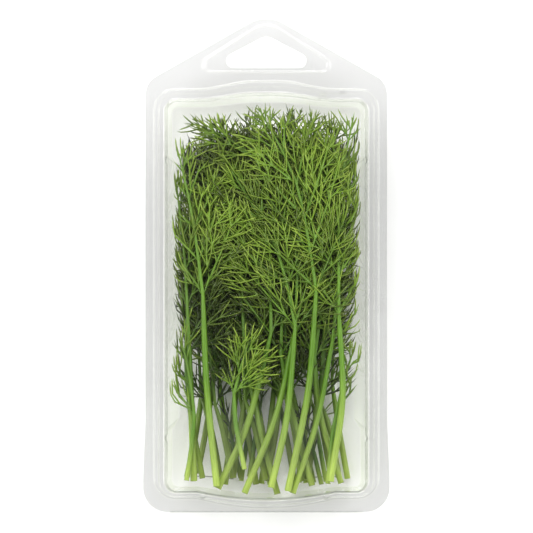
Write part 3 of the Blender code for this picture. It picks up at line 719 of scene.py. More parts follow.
def arch(x, height):
    """How far the outline's top edge bows out at x: an S each side of a short straight."""
    rise = (ARCH_HALF_SPAN - abs(x)) / (ARCH_HALF_SPAN - ARCH_HALF_PLATEAU)
    return height * eased(clamp(rise))


def bow(x, height):
    """How far the outline's bottom edge bows out at x: one shallow arc."""
    return height * (1 - (x / ARCH_HALF_SPAN) ** 2)


def waist(y, pinch):
    """How far the tray's side is drawn in at y: nothing at the ends, all of it in the middle."""
    rise = min(WAIST_TOP_Y - y, y - WAIST_BOTTOM_Y) / WAIST_RAMP + 1
    return pinch * clamp(rise)


def boss(x, centres):
    """How far a half-round boss stands out at x."""
    away = min(abs(x - centre) for centre in centres)
    return math.sqrt(max(0.0, BOSS_RADIUS * BOSS_RADIUS - away * away))


def nick(y):
    """How far a nick goes out into the wall at y."""
    away = min(abs(y - centre) for centre in NICKS)
    return NICK_DEPTH * max(0.0, 1 - away / NICK_HALF)


def end_stations(bosses):
    """The places of points along an end of the outline: even, and closer together across each boss."""
    even = [ARCH_HALF_SPAN * (2 * n / ARCH_STEPS - 1) for n in range(ARCH_STEPS + 1)]
    stations = [x for x in even if all(abs(x - centre) > 1.1 * BOSS_RADIUS for centre in bosses)]
    for centre in bosses:
        turns = [math.pi * (n / BOSS_STEPS - 0.5) for n in range(BOSS_STEPS + 1)]
        stations += [centre + BOSS_RADIUS * math.sin(turn) for turn in turns]
    return sorted(stations)


def body_outline(inset, sides, pinch=0.0, bosses=0.0, nicks=0.0):
    """One outline of the lid and tray family, anticlockwise from the lower right corner.

    The sides have points at the given values of y. The last three values say how much of the waist, the
    bosses and the nicks shows in the outline.
    """
    half = OUTLINE_HALF_WIDTH - inset
    top = OUTLINE_TOP_Y - inset * TOP_INSET_SHARE
    bottom = OUTLINE_BOTTOM_Y + inset * BOTTOM_INSET_SHARE
    radius = max(LEAST_RADIUS, OUTLINE_RADIUS - inset * 0.86)
    top_arch = max(0.0, TOP_ARCH - inset * ARCH_LOSS)
    bottom_arch = max(0.0, BOTTOM_ARCH - inset * ARCH_LOSS)
    corners = [
        (Vector((half, bottom)), radius, CORNER_STEPS),
        (Vector((half, top)), radius, CORNER_STEPS),
        (Vector((-half, top)), radius, CORNER_STEPS),
        (Vector((-half, bottom)), radius, CORNER_STEPS),
    ]
    count = CORNER_STEPS + 1
    turned = rounded(corners)
    lower_right, upper_right, upper_left, lower_left = [
        turned[n * count : (n + 1) * count] for n in range(4)
    ]
    right = [Vector((half - waist(y, pinch) + nicks * nick(y), y)) for y in sides]
    left = [Vector((-point.x, point.y)) for point in right[::-1]]
    above = [
        Vector((x, top + arch(x, top_arch) + bosses * boss(x, TOP_BOSSES)))
        for x in reversed(end_stations(TOP_BOSSES))
    ]
    below = [
        Vector((x, bottom - bow(x, bottom_arch) - bosses * boss(x, BOTTOM_BOSSES)))
        for x in end_stations(BOTTOM_BOSSES)
    ]
    return lower_right + right + upper_right + above + upper_left + left + lower_left + below


# Sheets: loops of edges, extruded from outline to outline, with flats filled between loops


def edge_loop(bm, outline, z):
    """A closed loop of edges through an outline. Returns its vertices and edges."""
    verts = [bm.verts.new((point.x, point.y, z)) for point in outline]
    edges = [bm.edges.new((a, b)) for a, b in zip(verts, verts[1:] + verts[:1])]
    return verts, edges


def next_loop(bm, loop, outline, z):
    """Extrudes a loop of edges to the next outline of as many points."""
    verts, edges = loop
    made = bmesh.ops.extrude_edge_only(bm, edges=edges)["geom"]
    old = set(verts)
    after = {}
    for vertex in (item for item in made if isinstance(item, bmesh.types.BMVert)):
        for edge in vertex.link_edges:
            other = edge.other_vert(vertex)
            if other in old:
                after[other] = vertex
    new_verts = [after[vertex] for vertex in verts]
    for vertex, point in zip(new_verts, outline):
        vertex.co = (point.x, point.y, z)
    new_edges = [bm.edges.get((a, b)) for a, b in zip(new_verts, new_verts[1:] + new_verts[:1])]
    return new_verts, new_edges


def fill_flat(bm, *loops):
    """Fills the flat between an outer loop and the loops inside it."""
    edges = [edge for _, loop_edges in loops for edge in loop_edges]
    bmesh.ops.triangle_fill(bm, use_beauty=True, edges=edges)


def formed(bm, loop, profile, outline_at):
    """Runs a loop along a profile of (inset, z) points. outline_at gives the outline for an inset and z."""
    for point in profile:
        loop = next_loop(bm, loop, outline_at(point.x, point.y), point.y)
    return loop


def rounded_profile(points, radius):
    """The (inset, z) points of a section with its inner corners rounded."""
    return rounded([(Vector(point), radius, ROUND_STEPS) for point in points], closed=False)


def fold_ramps(bm):
    """Splits the twisted faces at the ends of the tray's waist along their folds."""
    middle = (WAIST_TOP_Y + WAIST_BOTTOM_Y) / 2
    for face in bm.faces[:]:
        by_height = sorted(face.verts, key=lambda vertex: vertex.co.z)
        places = [vertex.co.y for vertex in face.verts]
        is_ramp = abs(max(places) - min(places) - WAIST_RAMP) < 0.1 * MM
        if is_ramp and len(by_height) == 4 and by_height[3].co.z - by_height[0].co.z > WAIST_RAMP:
            inner = min(by_height[:2], key=lambda vertex: abs(vertex.co.y - middle))
            outer = max(by_height[2:], key=lambda vertex: abs(vertex.co.y - middle))
            bmesh.utils.face_split(face, inner, outer)


def outward(bm, up):
    """Turns the faces so that the largest looks up or down, and keeps flats and folds crisp."""
    bmesh.ops.recalc_face_normals(bm, faces=bm.faces)
    largest = max(bm.faces, key=lambda face: face.calc_area())
    if (largest.normal.z > 0) != up:
        bmesh.ops.reverse_faces(bm, faces=bm.faces)
    for face in bm.faces:
        face.smooth = abs(face.normal.z) < 0.9999
    for edge in bm.edges:
        edge.smooth = edge.calc_face_angle(0.0) < CREASE_ANGLE


def thicken(piece, sheet):
    """Gives a formed surface the sheet's thickness, inwards."""
    solid = piece.modifiers.new("sheet", "SOLIDIFY")
    solid.thickness = sheet
    solid.offset = -1
    solid.use_quality_normals = True


class DILL_OT_tray(bpy.types.Operator):
    """Make the deep shell of the pack"""

    bl_idname = "dill.tray"
    bl_label = "Tray"

    def execute(self, context):
        pack = context.scene.dill_pack
        rim_z = TRAY_RIM_Z - pack.sheet

        def outline_at(inset, z):
            return body_outline(inset, TRAY_SIDES, WAIST_PINCH * clamp((rim_z - z) / (rim_z - BASE_ROUND)))

        bm = bmesh.new()
        rim = edge_loop(bm, rim_outline(), rim_z)
        hole = edge_loop(bm, hang_hole(), rim_z)
        start = edge_loop(bm, body_outline(WALL_START - EDGE_STRIP, TRAY_SIDES), rim_z)
        fill_flat(bm, rim, hole, start)
        wall = rounded_profile(
            [
                (WALL_START - EDGE_STRIP, rim_z),
                (WALL_START, rim_z),
                (BASE_INSET, 0.0),
                (DIMPLE_INSET, 0.0),
                (DIMPLE_INSET + DIMPLE_RAMP, DIMPLE_DEPTH),
                (DIMPLE_INSET + DIMPLE_RAMP + DIMPLE_STRIP, DIMPLE_DEPTH),
            ],
            pack.rounding,
        )
        end = formed(bm, start, wall[1:], outline_at)
        fill_flat(bm, end)
        fold_ramps(bm)
        outward(bm, up=False)
        finish = clear_sheet_material(
            "clear_formed_polyester_tray", pack, pack.tray_steep_tint, pack.tray_edge_tint
        )
        piece = piece_from("tray_sheet", bm, finish, "pack", ["tray"])
        thicken(piece, pack.sheet)
        return {"FINISHED"}


class DILL_OT_lid(bpy.types.Operator):
    """Make the shallow shell with the window, its bead, land, button and tab ridge"""

    bl_idname = "dill.lid"
    bl_label = "Lid"

    def execute(self, context):
        pack = context.scene.dill_pack
        rim_z = LID_RIM_Z + pack.sheet
        bead_z = LID_RIM_Z + BEAD_RISE
        land_z = LID_RIM_Z + LAND_RISE
        bm = bmesh.new()
        rim = edge_loop(bm, rim_outline(), rim_z)
        ridge = edge_loop(bm, ridge_outline(-FLAT_MARGIN), rim_z)
        start = edge_loop(bm, body_outline(-EDGE_STRIP, LID_SIDES), rim_z)
        fill_flat(bm, rim, ridge, start)
        hole = edge_loop(bm, hang_hole(), rim_z)
        ramp_start, ramp_end = RIDGE_RAMP
        ridge_section = rounded_profile(
            [
                (-FLAT_MARGIN, rim_z),
                (ramp_start, rim_z),
                (ramp_end, rim_z + RIDGE_RISE),
                (RIDGE_WIDTH - ramp_end, rim_z + RIDGE_RISE),
                (RIDGE_WIDTH - ramp_start, rim_z),
                (RIDGE_WIDTH + FLAT_MARGIN, rim_z),
            ],
            RIDGE_ROUNDING,
        )
        ridge = formed(bm, ridge, ridge_section[1:], lambda inset, z: ridge_outline(inset))
        fill_flat(bm, ridge, hole)
        boss_z = land_z + BOSS_RISE
        boss_share = BOSS_RISE / (PACK_HEIGHT - land_z)
        boss_inset = WALL_START + (WINDOW_INSET - WALL_START) * boss_share
        foot = rounded_profile(
            [
                (-EDGE_STRIP, rim_z),
                (0.0, rim_z),
                (BEAD_RUN, bead_z),
                (BEAD_WIDTH, bead_z),
                (BEAD_WIDTH + BEAD_RUN, land_z),
                (WALL_START, land_z),
                (boss_inset, boss_z),
            ],
            pack.rounding,
        )
        edge = rounded_profile(
            [
                (boss_inset, boss_z),
                (WINDOW_INSET, PACK_HEIGHT),
                (WINDOW_INSET + WINDOW_STRIP, PACK_HEIGHT),
            ],
            pack.rounding,
        )

        def foot_outline(inset, z):
            at_wall = inset > WALL_START - 2 * pack.rounding
            return body_outline(inset, LID_SIDES, bosses=1.0 if at_wall else 0.0)

        def edge_outline(inset, z):
            at_wall = inset < WINDOW_INSET + 2 * pack.rounding
            nicks = (z - boss_z) / (PACK_HEIGHT - boss_z) if at_wall else 0.0
            return body_outline(inset, LID_SIDES, nicks=nicks)

        loop = formed(bm, start, foot[1:], foot_outline)
        loop = formed(bm, loop, edge, edge_outline)
        fill_flat(bm, loop)
        bmesh.ops.remove_doubles(bm, verts=bm.verts, dist=MERGE_DISTANCE)
        outward(bm, up=True)
        finish = clear_sheet_material(
            "clear_formed_polyester_lid", pack, pack.lid_steep_tint, pack.lid_edge_tint, misty=True
        )
        piece = piece_from("lid_sheet", bm, finish, "lid", ["lid"])
        thicken(piece, pack.sheet)
        self.button(pack, finish)
        return {"FINISHED"}

    def button(self, pack, finish):
        """The rectangular snap button, standing on the bead."""
        bm = bmesh.new()
        bmesh.ops.create_cube(bm, size=1.0)
        low = LID_RIM_Z + BEAD_RISE - pack.sheet
        high = LID_RIM_Z + BUTTON_RISE
        bmesh.ops.scale(bm, verts=bm.verts, vec=(BUTTON_WIDTH, BUTTON_DEPTH, high - low))
        bmesh.ops.translate(bm, verts=bm.verts, vec=(BUTTON_X, BUTTON_Y, (low + high) / 2))
        bmesh.ops.bevel(
            bm, geom=bm.edges[:], offset=pack.rounding, affect="EDGES", segments=3, profile=0.5, material=-1
        )
        piece_from("lid_button", bm, finish, "lid", ())


class DILL_OT_hinge(bpy.types.Operator):
    """Make the folded film between the two flanges"""

    bl_idname = "dill.hinge"
    bl_label = "Living hinge"

    def execute(self, context):
        pack = context.scene.dill_pack
        middle = RIM_GAP / 2 + pack.sheet / 2
        turns = [math.pi * n / HINGE_STEPS for n in range(HINGE_STEPS + 1)]
        section = []
        for radius, angles in ((middle + HINGE_FILM / 2, turns), (middle - HINGE_FILM / 2, turns[::-1])):
            fold = [Vector((-math.sin(angle) * radius, -math.cos(angle) * radius)) for angle in angles]
            section += [Vector((HINGE_LAP, fold[0].y)), *fold, Vector((HINGE_LAP, fold[-1].y))]
        bm = bmesh.new()
        verts = [
            bm.verts.new((-HINGE_HALF_LENGTH, HINGE_Y + point.x, HINGE_Z + point.y)) for point in section
        ]
        end = bm.faces.new(verts)
        made = bmesh.ops.extrude_face_region(bm, geom=[end])["geom"]
        moved = [item for item in made if isinstance(item, bmesh.types.BMVert)]
        bmesh.ops.translate(bm, verts=moved, vec=(2 * HINGE_HALF_LENGTH, 0, 0))
        bmesh.ops.recalc_face_normals(bm, faces=bm.faces)
        finish = clear_sheet_material(
            "clear_folded_polyester", pack, pack.lid_steep_tint, pack.lid_edge_tint
        )
        ends = ((0, HINGE_Y, HINGE_Z - 0.12 * MM), (0, HINGE_Y, HINGE_Z + 0.12 * MM))
        piece_from(
            "hinge_fold", bm, finish, None, ["living_hinge"], ("pack", "lid", *ends)
        )
        return {"FINISHED"}


# Where each sprig stands and how far it may reach


def mm(*values):
    """A point given in millimetres."""
    return Vector([value * MM for value in values])


def side_limit(z):
    """How far out a leaf may reach at a height."""
    return min(SIDE_LIMIT_HIGH, SIDE_LIMIT_LOW + z * SIDE_LIMIT_SLOPE)


def layer_z(sprig):
    """The height of the middle of the sprig's layer."""
    return FIRST_LAYER_Z + sprig.layer * LAYER_PITCH


def front_sprigs():
    """The three front layers, and the short sprigs among their stems."""
    made = []
    for name, layer, side, pairs, foot, bend, *rib in FRONT_SPRIGS:
        points = [mm(*point) for point in rib]
        made.append(Sprig(name, layer, side, mm(*foot), mm(*bend), points, pairs, side == 0))
    return made


def back_sprigs():
    """The five layers behind, by the rule that places their solids."""
    made = []
    for layer, neck in enumerate(BACK_NECKS):
        draw = random.Random(100 + layer)
        lean = BACK_LEAN if layer % 2 else -BACK_LEAN
        limit = side_limit(FIRST_LAYER_Z + layer * LAYER_PITCH) / MM
        for column in range(4):
            stem_x = BACK_PITCH * (column - 1.5) + BACK_SHIFTS[layer] + draw.uniform(-1.2, 1.2)
            foot_x = stem_x - lean / 2 + draw.uniform(-1.0, 1.0)
            foot_x = clamp(foot_x, 2.0 - limit, limit - 2.0)
            crown_x = stem_x + lean / 2 + draw.uniform(-1.0, 1.0)
            crown_y = neck + draw.uniform(0.0, 6.0)
            tip_x = crown_x * 1.25 + draw.uniform(-3.0, 3.0)
            tip_x = clamp(tip_x, 4.0 - limit, limit - 4.0)
            tip_y = 63.0 - abs(tip_x) * 0.35 - draw.uniform(0.0, 10.0)
            lowest = -89.0 - 4.0 * max(0.0, 1 - (foot_x / 30.0) ** 2)
            foot = mm(foot_x, lowest + draw.uniform(0.0, 5.0))
            bend = mm(stem_x, -68.0)
            middle = mm((crown_x + tip_x) / 2 + draw.uniform(-2.0, 2.0), (crown_y + tip_y) / 2)
            rib = [mm(crown_x, crown_y), middle, mm(tip_x, tip_y)]
            side = 1 if column % 2 else -1
            name = f"back_{layer + 1}_{column + 1}"
            pairs = 5 if layer == 0 else 4
            made.append(Sprig(name, layer, side, foot, bend, rib, pairs, False))
    return made


def low_sprigs():
    """Short sprigs in gaps between the stems behind, each ending under its layer's lowest branches."""
    made = []
    for layer, gaps in enumerate(LOW_GAPS):
        draw = random.Random(200 + layer)
        lean = BACK_LEAN if layer % 2 else -BACK_LEAN
        neck = BACK_NECKS[layer]
        for gap in gaps:
            middle_x = BACK_PITCH * gap + BACK_SHIFTS[layer] + draw.uniform(-1.2, 1.2)
            foot_y = draw.uniform(-91.0, -87.0)
            first_y = neck - LOW_LEAF
            levels = (foot_y, (foot_y + first_y) / 2, first_y, neck - LOW_LEAF / 2, neck - 1.5)
            # Each point lies on the slant of the stems beside it.
            slant = lean / (neck + 90.0)
            foot, bend, *rib = [mm(middle_x + slant * (y + 90.0) - lean / 2, y) for y in levels]
            made.append(Sprig(f"low_{layer + 1}_{gap + 2}", layer, 0, foot, bend, rib, 2, True))
    return made


def rib_x(sprig, y):
    """The rib's x at a height on the pack, held at its ends."""
    points = [sprig.foot, sprig.bend] + list(sprig.rib)
    if y <= points[0].y:
        return points[0].x
    for a, b in zip(points, points[1:]):
        if y <= b.y:
            return a.x + (b.x - a.x) * (y - a.y) / (b.y - a.y)
    return points[-1].x


def sprig_region(sprig, others):
    """A function of y that gives the sprig's least and greatest x."""
    limit = side_limit(layer_z(sprig))
    layer = [other for other in others if other is not sprig and other.layer == sprig.layer]
    neighbours = [other for other in layer if sprig.short or other.side == sprig.side]

    def bounds(y):
        low, high = -limit, limit
        for other in neighbours:
            split = (rib_x(sprig, y) + rib_x(other, y)) / 2
            if rib_x(other, y) > rib_x(sprig, y):
                high = min(high, split - SPLIT_GAP)
            else:
                low = max(low, split + SPLIT_GAP)
        return low, high

    return bounds


def inside(point, region):
    """True if a point is within the sprig's own stretch of its layer and inside the pack."""
    low, high = region(point.y)
    return low < point.x < high and point.y < TOP_LIMIT_Y + arch(point.x, TOP_LIMIT_ARCH)


def neck_y(sprig, others):
    """The lowest first node in the sprig's layer, above which its stems are thin."""
    if sprig.short:
        return sprig.rib[0].y
    return min(other.rib[0].y for other in others if other.layer == sprig.layer and not other.short)


# Paths


def smooth_path(points, count):
    """count + 1 points at even shares along a Catmull-Rom curve through the points given."""
    ends = [2 * points[0] - points[1]] + list(points) + [2 * points[-1] - points[-2]]
    spans = len(points) - 1
    path = []
    for step in range(count + 1):
        place = step / count * spans
        span = min(int(place), spans - 1)
        t = place - span
        a, b, c, d = ends[span : span + 4]
        cubic = 3 * b - a - 3 * c + d
        square = 2 * a - 5 * b + 4 * c - d
        path.append(b + (c - a) * (t / 2) + square * (t * t / 2) + cubic * (t * t * t / 2))
    return path


def along(path, distance):
    """The point and direction at a distance along a polyline."""
    for start, end in zip(path, path[1:]):
        length = (end - start).length
        if distance <= length or end is path[-1]:
            tangent = (end - start).normalized()
            return start + tangent * distance, tangent
        distance -= length


def path_length(path):
    """The length of a polyline."""
    return sum((b - a).length for a, b in zip(path, path[1:]))


def turned(direction, angle):
    """A direction turned to the right by an angle, in plan."""
    c, s = math.cos(angle), math.sin(angle)
    return Vector((direction.x * c + direction.y * s, direction.y * c - direction.x * s, direction.z))


def bent_path(root, tangent, angle, bend, reach, region, steps=6):
    """A path that leaves at an angle and bends as it goes, cut short where it would leave the region."""
    flat = Vector((tangent.x, tangent.y, 0)).normalized()
    path = [root.copy()]
    for step in range(steps):
        direction = turned(flat, angle + bend * step / steps)
        point = path[-1] + direction * reach / steps
        if not inside(point, region):
            break
        path.append(point)
    return path


def branch_plan(sprig, rib, region):
    """The side branches, as in the sprig's solid: each one's place along the rib, side and path in plan."""
    length = path_length(rib)
    plan = []
    for pair in range(sprig.pairs):
        share = 1 - (1 - pair / (sprig.pairs + 0.3)) ** 1.2
        place = 2 * NODE_HALF + share * length
        root, tangent = along(rib, place)
        for side in (1, -1):
            draw = random.Random(f"{sprig.name} {pair} {side}")
            angle = BRANCH_ANGLE * draw.uniform(0.85, 1.2)
            reach = BRANCH_SHARE * (length - place) * draw.uniform(0.85, 1.05) + 4.0 * MM
            path = bent_path(root, tangent, side * angle, -side * BRANCH_BEND, reach, region)
            plan.append((place, side, path))
    return plan


def free_path(draw, root, tangent, turn, bend, reach, climb, steps):
    """A twig's or thread's path: it leaves at an angle, bends forward, and keeps inside the pack."""
    flat = Vector((tangent.x, tangent.y, 0)).normalized()
    path = [root.copy()]
    spare = draw.uniform(0.0, 6.0) * MM
    for step in range(steps):
        share = step / steps
        direction = turned(flat, turn + bend * share)
        direction.z = math.sin(climb * (1 - 0.7 * share) + draw.uniform(-0.12, 0.12))
        here = path[-1]
        room = side_limit(here.z) - abs(here.x)
        if direction.x * here.x > 0:
            direction.x *= clamp(room / BENDING_ROOM, 0.05)
        point = here + direction.normalized() * reach / steps
        if step and point.y > TOP_LIMIT_Y + arch(point.x, TOP_LIMIT_ARCH) - spare:
            break
        path.append(kept_inside(point))
    return path


def kept_inside(point):
    """The nearest place within the pack's walls."""
    z = clamp(point.z, LOWEST_LEAF_Z, HIGHEST_LEAF_Z)
    limit = side_limit(z) + 0.6 * MM
    x = clamp(point.x, -limit, limit)
    roof = TOP_LIMIT_Y + arch(x, TOP_LIMIT_ARCH) + 0.8 * MM
    return Vector((x, min(roof, point.y), z))


# Growing a sprig: every shoot's cap is extruded from ring to ring, and younger shoots leave side faces


class Shoot:
    """A stem, branch, twig or thread: its rings, and the younger shoots that leave it."""

    def __init__(self, path, sides, growth, shade):
        self.path = path
        self.sides = sides
        self.growth = growth
        self.shade = shade
        self.rings = []
        self.births = {}
        self.face = None
        self.ring = None
        self.start = None

    def add_ring(self, distance, radius, tip=0.0):
        """A ring round the path, and how near it is to a leaf's tip."""
        centre, tangent = along(self.path, distance)
        self.rings.append((centre, tangent, radius, tip, distance))

    def add_node(self, distance, radius, tip, half, young):
        """Two rings close together, with the younger shoots that leave between them."""
        self.add_ring(distance - half, radius, tip)
        self.add_ring(distance + half, radius, tip)
        self.births[len(self.rings) - 1] = young


def ring_directions(tangent, sides):
    """The directions to the corners of a ring, clockwise as its path is followed, from the top."""
    right = tangent.cross(Vector((0, 0, 1))).normalized()
    up = right.cross(tangent).normalized()
    turns = [math.pi / 2 - 2 * math.pi * n / sides for n in range(sides)]
    return [right * math.cos(a) + up * math.sin(a) for a in turns]


def lay_ring(shoot, ring, step, growth_layer, grain_layer):
    """Puts a new ring in its place and marks how it has grown."""
    centre, tangent, radius, tip, distance = shoot.rings[step]
    directions = ring_directions(tangent, shoot.sides)
    if shoot.start is None:
        first = shoot.ring[0].co
        gaps = [(centre + direction * radius - first).length for direction in directions]
        shoot.start = gaps.index(min(gaps))
    directions = directions[shoot.start :] + directions[: shoot.start]
    low, high = shoot.growth
    reach = distance / max(shoot.rings[-1][4], MM)
    for n, (vertex, direction) in enumerate(zip(ring, directions)):
        vertex.co = centre + direction * radius
        turn = 2 * math.pi * (n + shoot.start) / shoot.sides
        vertex[growth_layer] = Vector((low + (high - low) * reach, shoot.shade, tip))
        vertex[grain_layer] = Vector((math.cos(turn), math.sin(turn), distance * GRAIN_RUN))


def grow(bm, shoots, growth_layer, grain_layer):
    """Grows shoots to their full length, all at once. Returns the younger ones that leave them."""
    young = []
    step = 0
    active = [shoot for shoot in shoots if shoot.rings]
    while active:
        waiting = {frozenset(shoot.ring): shoot for shoot in active}
        caps = bmesh.ops.extrude_discrete_faces(bm, faces=[shoot.face for shoot in active])["faces"]
        for cap in caps:
            new = set(cap.verts)
            before = {}
            for vertex in cap.verts:
                for edge in vertex.link_edges:
                    other = edge.other_vert(vertex)
                    if other not in new:
                        before[other] = vertex
            shoot = waiting[frozenset(before)]
            ring = [before[vertex] for vertex in shoot.ring]
            lay_ring(shoot, ring, step, growth_layer, grain_layer)
            shoot.face, shoot.ring = cap, ring
            if step in shoot.births:
                young += root_births(shoot, cap, ring, shoot.births[step])
        step += 1
        active = [shoot for shoot in active if step < len(shoot.rings)]
    return young


def root_births(shoot, cap, ring, births):
    """Gives each younger shoot the side face that looks most the way it sets out."""
    sides = []
    centre = sum((vertex.co for vertex in ring), Vector()) / len(ring)
    for n, vertex in enumerate(ring):
        after = ring[(n + 1) % len(ring)]
        face = next(face for face in vertex.link_faces if face is not cap and after in face.verts)
        sides.append((face, ((vertex.co + after.co) / 2 - centre).normalized()))
    rooted = []
    for child in births:
        away = (child.path[1] - child.path[0]).normalized()
        face, outward_side = max(sides, key=lambda side: side[1].dot(away))
        sides.remove((face, outward_side))
        child.face = face
        child.ring = list(face.verts)
        child.sides = len(child.ring)
        rooted.append(child)
    return rooted


def sparseness(x, fine):
    """The share of twigs or threads that are missing: some of the hidden ones, and more near the sides."""
    return min(MOST_MISSING, max(0.0, abs(x) - THIN_FROM) * THIN_RATE + (0.0 if fine else HIDDEN_MISSING))


def thread(draw, root, tangent, side, reach, climb, dill, shade, fine):
    """One leaf thread: curved, tapering to a point."""
    turn = side * math.radians(draw.uniform(*THREAD_TURN))
    bend = -side * math.radians(draw.uniform(*THREAD_BEND))
    path = free_path(draw, root, tangent, turn, bend, reach, climb, 4)
    length = path_length(path)
    shoot = Shoot(path, TWIG_SIDES, (0.85, 1.0), shade)
    shares = (0.25, 0.52, 0.8) if fine else (0.45,)
    for share in shares:
        shoot.add_ring(length * share, dill.thread_radius * (1 - 0.4 * share), share)
    shoot.add_ring(length, 0.0, 1.0)
    return shoot


def twig(draw, root, tangent, side, reach, climb, dill, shade, fine):
    """A side twig of a branch, with pairs of threads and a pointed end."""
    turn = side * math.radians(draw.uniform(*TWIG_TURN))
    bend = -side * math.radians(draw.uniform(*TWIG_BEND))
    path = free_path(draw, root, tangent, turn, bend, reach, climb, 4)
    length = path_length(path)
    shoot = Shoot(path, TWIG_SIDES, (0.7, 0.9), shade)
    place = max(2.0 * MM, length * draw.uniform(0.24, 0.34))
    while place < length - BARE_TWIG_END:
        share = place / length
        radius = dill.twig_radius * (1 - 0.3 * share)
        node, direction = along(path, place)
        young = []
        for way in (1, -1):
            if draw.random() < sparseness(node.x, fine):
                continue
            span = min(LONGEST_THREAD, (length - place) * 0.85 + 3.6 * MM) * draw.uniform(0.75, 1.15)
            lift = climb * 0.5 + draw.uniform(-0.5, 0.5)
            tone = clamp(shade + draw.uniform(-0.15, 0.15))
            young.append(thread(draw, node, direction, way, span, lift, dill, tone, fine))
        shoot.add_node(place, radius, share * 0.5, 0.32 * MM, young)
        place += draw.uniform(*THREAD_SPACING) * MM * (1.0 if fine else 1.1)
    if not shoot.rings:
        shoot.add_ring(length * 0.5, dill.thread_radius * 0.85, 0.4)
    shoot.add_ring(length, 0.0, 1.0)
    return shoot


def branch(draw, path, dill, shade, fine, pitch):
    """A branch of the leaf, with pairs of twigs that shorten towards its pointed end."""
    length = path_length(path)
    shoot = Shoot(path, BRANCH_SIDES, (0.5, 0.8), shade)
    place = max(3.0 * MM, length * draw.uniform(0.12, 0.18))
    while place < length - BARE_BRANCH_END:
        share = place / length
        radius = dill.branch_radius * (1 - 0.35 * share)
        node, direction = along(path, place)
        young = []
        for way in (1, -1):
            if draw.random() < sparseness(node.x, True):
                continue
            reach = min(LONGEST_TWIG, (length - place) * 0.56 + 5.5 * MM) * draw.uniform(0.75, 1.15)
            climb = draw.uniform(-0.55, 0.55)
            tone = clamp(shade + draw.uniform(-0.2, 0.2))
            young.append(twig(draw, node, direction, way, reach, climb, dill, tone, fine))
        shoot.add_node(place, radius, share * 0.4, 0.38 * MM, young)
        place += (TWIG_SPACING - TWIG_CROWDING * share) * pitch * MM * draw.uniform(0.8, 1.2)
    if not shoot.rings:
        shoot.add_ring(length * 0.5, dill.thread_radius, 0.4)
    shoot.add_ring(length, 0.0, 1.0)
    return shoot


def lifted(path, height, rise, draw):
    """A path in plan, given the height of its plume, with a slow rise or fall and a slight wave."""
    phase = draw.uniform(0, 2 * math.pi)
    made = []
    for index, point in enumerate(path):
        share = index / max(1, len(path) - 1)
        wave = 0.35 * MM * share * math.sin(phase + 5 * share)
        z = clamp(height + rise * share + wave, LOWEST_LEAF_Z, HIGHEST_LEAF_Z)
        made.append(Vector((point.x, point.y, z)))
    return made


def main_shoot(sprig, others, dill):
    """The stem and the rib it runs on as, with the branches of the sprig's solid."""
    fine = sprig.layer in FINE_LAYERS
    base = layer_z(sprig)
    height = base + sprig.side * PLUME_OFFSET
    neck = neck_y(sprig, others)
    draw = random.Random("fine " + sprig.name)
    # Painted shade: the layer's darkening by depth, with a random tone of the sprig's own
    shade = LAYER_PAINTED_SHADES[sprig.layer] + draw.uniform(-0.12, 0.12)
    pitch = SHORT_SPRIG_PITCH if sprig.short else 1.0
    stem = smooth_path([sprig.foot, sprig.bend, sprig.rib[0]], 24)
    rib = smooth_path(sprig.rib, 8)
    path = []
    for point in stem[:-1] + rib:
        share = eased(clamp((point.y - sprig.foot.y) / (neck - sprig.foot.y)))
        path.append(Vector((point.x, point.y, base + (height - base) * share)))
    stem_length = path_length(path[: len(stem)])
    flat_rib = [Vector((point.x, point.y, 0.0)) for point in rib]
    rib_length = path_length(flat_rib)
    foot_radius = dill.stem_radius * (0.7 if sprig.short else draw.uniform(0.84, 1.0))
    shoot = Shoot(path, STEM_SIDES, (0.0, 0.62), shade)
    for distance in (1.2 * MM, 4.0 * MM):
        shoot.add_ring(distance, foot_radius)
    place = 9.0 * MM
    while place < stem_length - 4.0 * MM:
        share = place / stem_length
        shoot.add_ring(place, foot_radius + (dill.rib_radius * 1.35 - foot_radius) * share**3)
        place += 5.0 * MM
    plan = branch_plan(sprig, flat_rib, sprig_region(sprig, others))
    for place in sorted({where for where, _, _ in plan}):
        share = place / rib_length
        radius = dill.rib_radius * (1.1 - 0.55 * share)
        young = []
        for where, _, flat in plan:
            if where == place and path_length(flat) > LEAST_BRANCH:
                rise = draw.uniform(-1.6, 1.6) * MM
                tone = clamp(shade + draw.uniform(-0.28, 0.28))
                young.append(branch(draw, lifted(flat, height, rise, draw), dill, tone, fine, pitch))
        shoot.add_node(stem_length + place, radius, 0.0, NODE_HALF, young)
    crown = rib_length * (1 - (1 - (sprig.pairs - 1) / (sprig.pairs + 0.3)) ** 1.2) + 5.0 * MM
    while crown < rib_length - 3.0 * MM:
        share = crown / rib_length
        node, direction = along(path, stem_length + crown)
        young = []
        for way in (1, -1):
            reach = min(LONGEST_CROWN_TWIG, (rib_length - crown) * 0.6 + 5.0 * MM)
            reach *= draw.uniform(0.85, 1.1)
            young.append(twig(draw, node, direction, way, reach, draw.uniform(-0.4, 0.4), dill, shade, fine))
        shoot.add_node(stem_length + crown, dill.rib_radius * (1.1 - 0.6 * share), 0.2, 0.4 * MM, young)
        crown += 3.8 * MM
    shoot.add_ring(path_length(path), 0.0, 1.0)
    return shoot


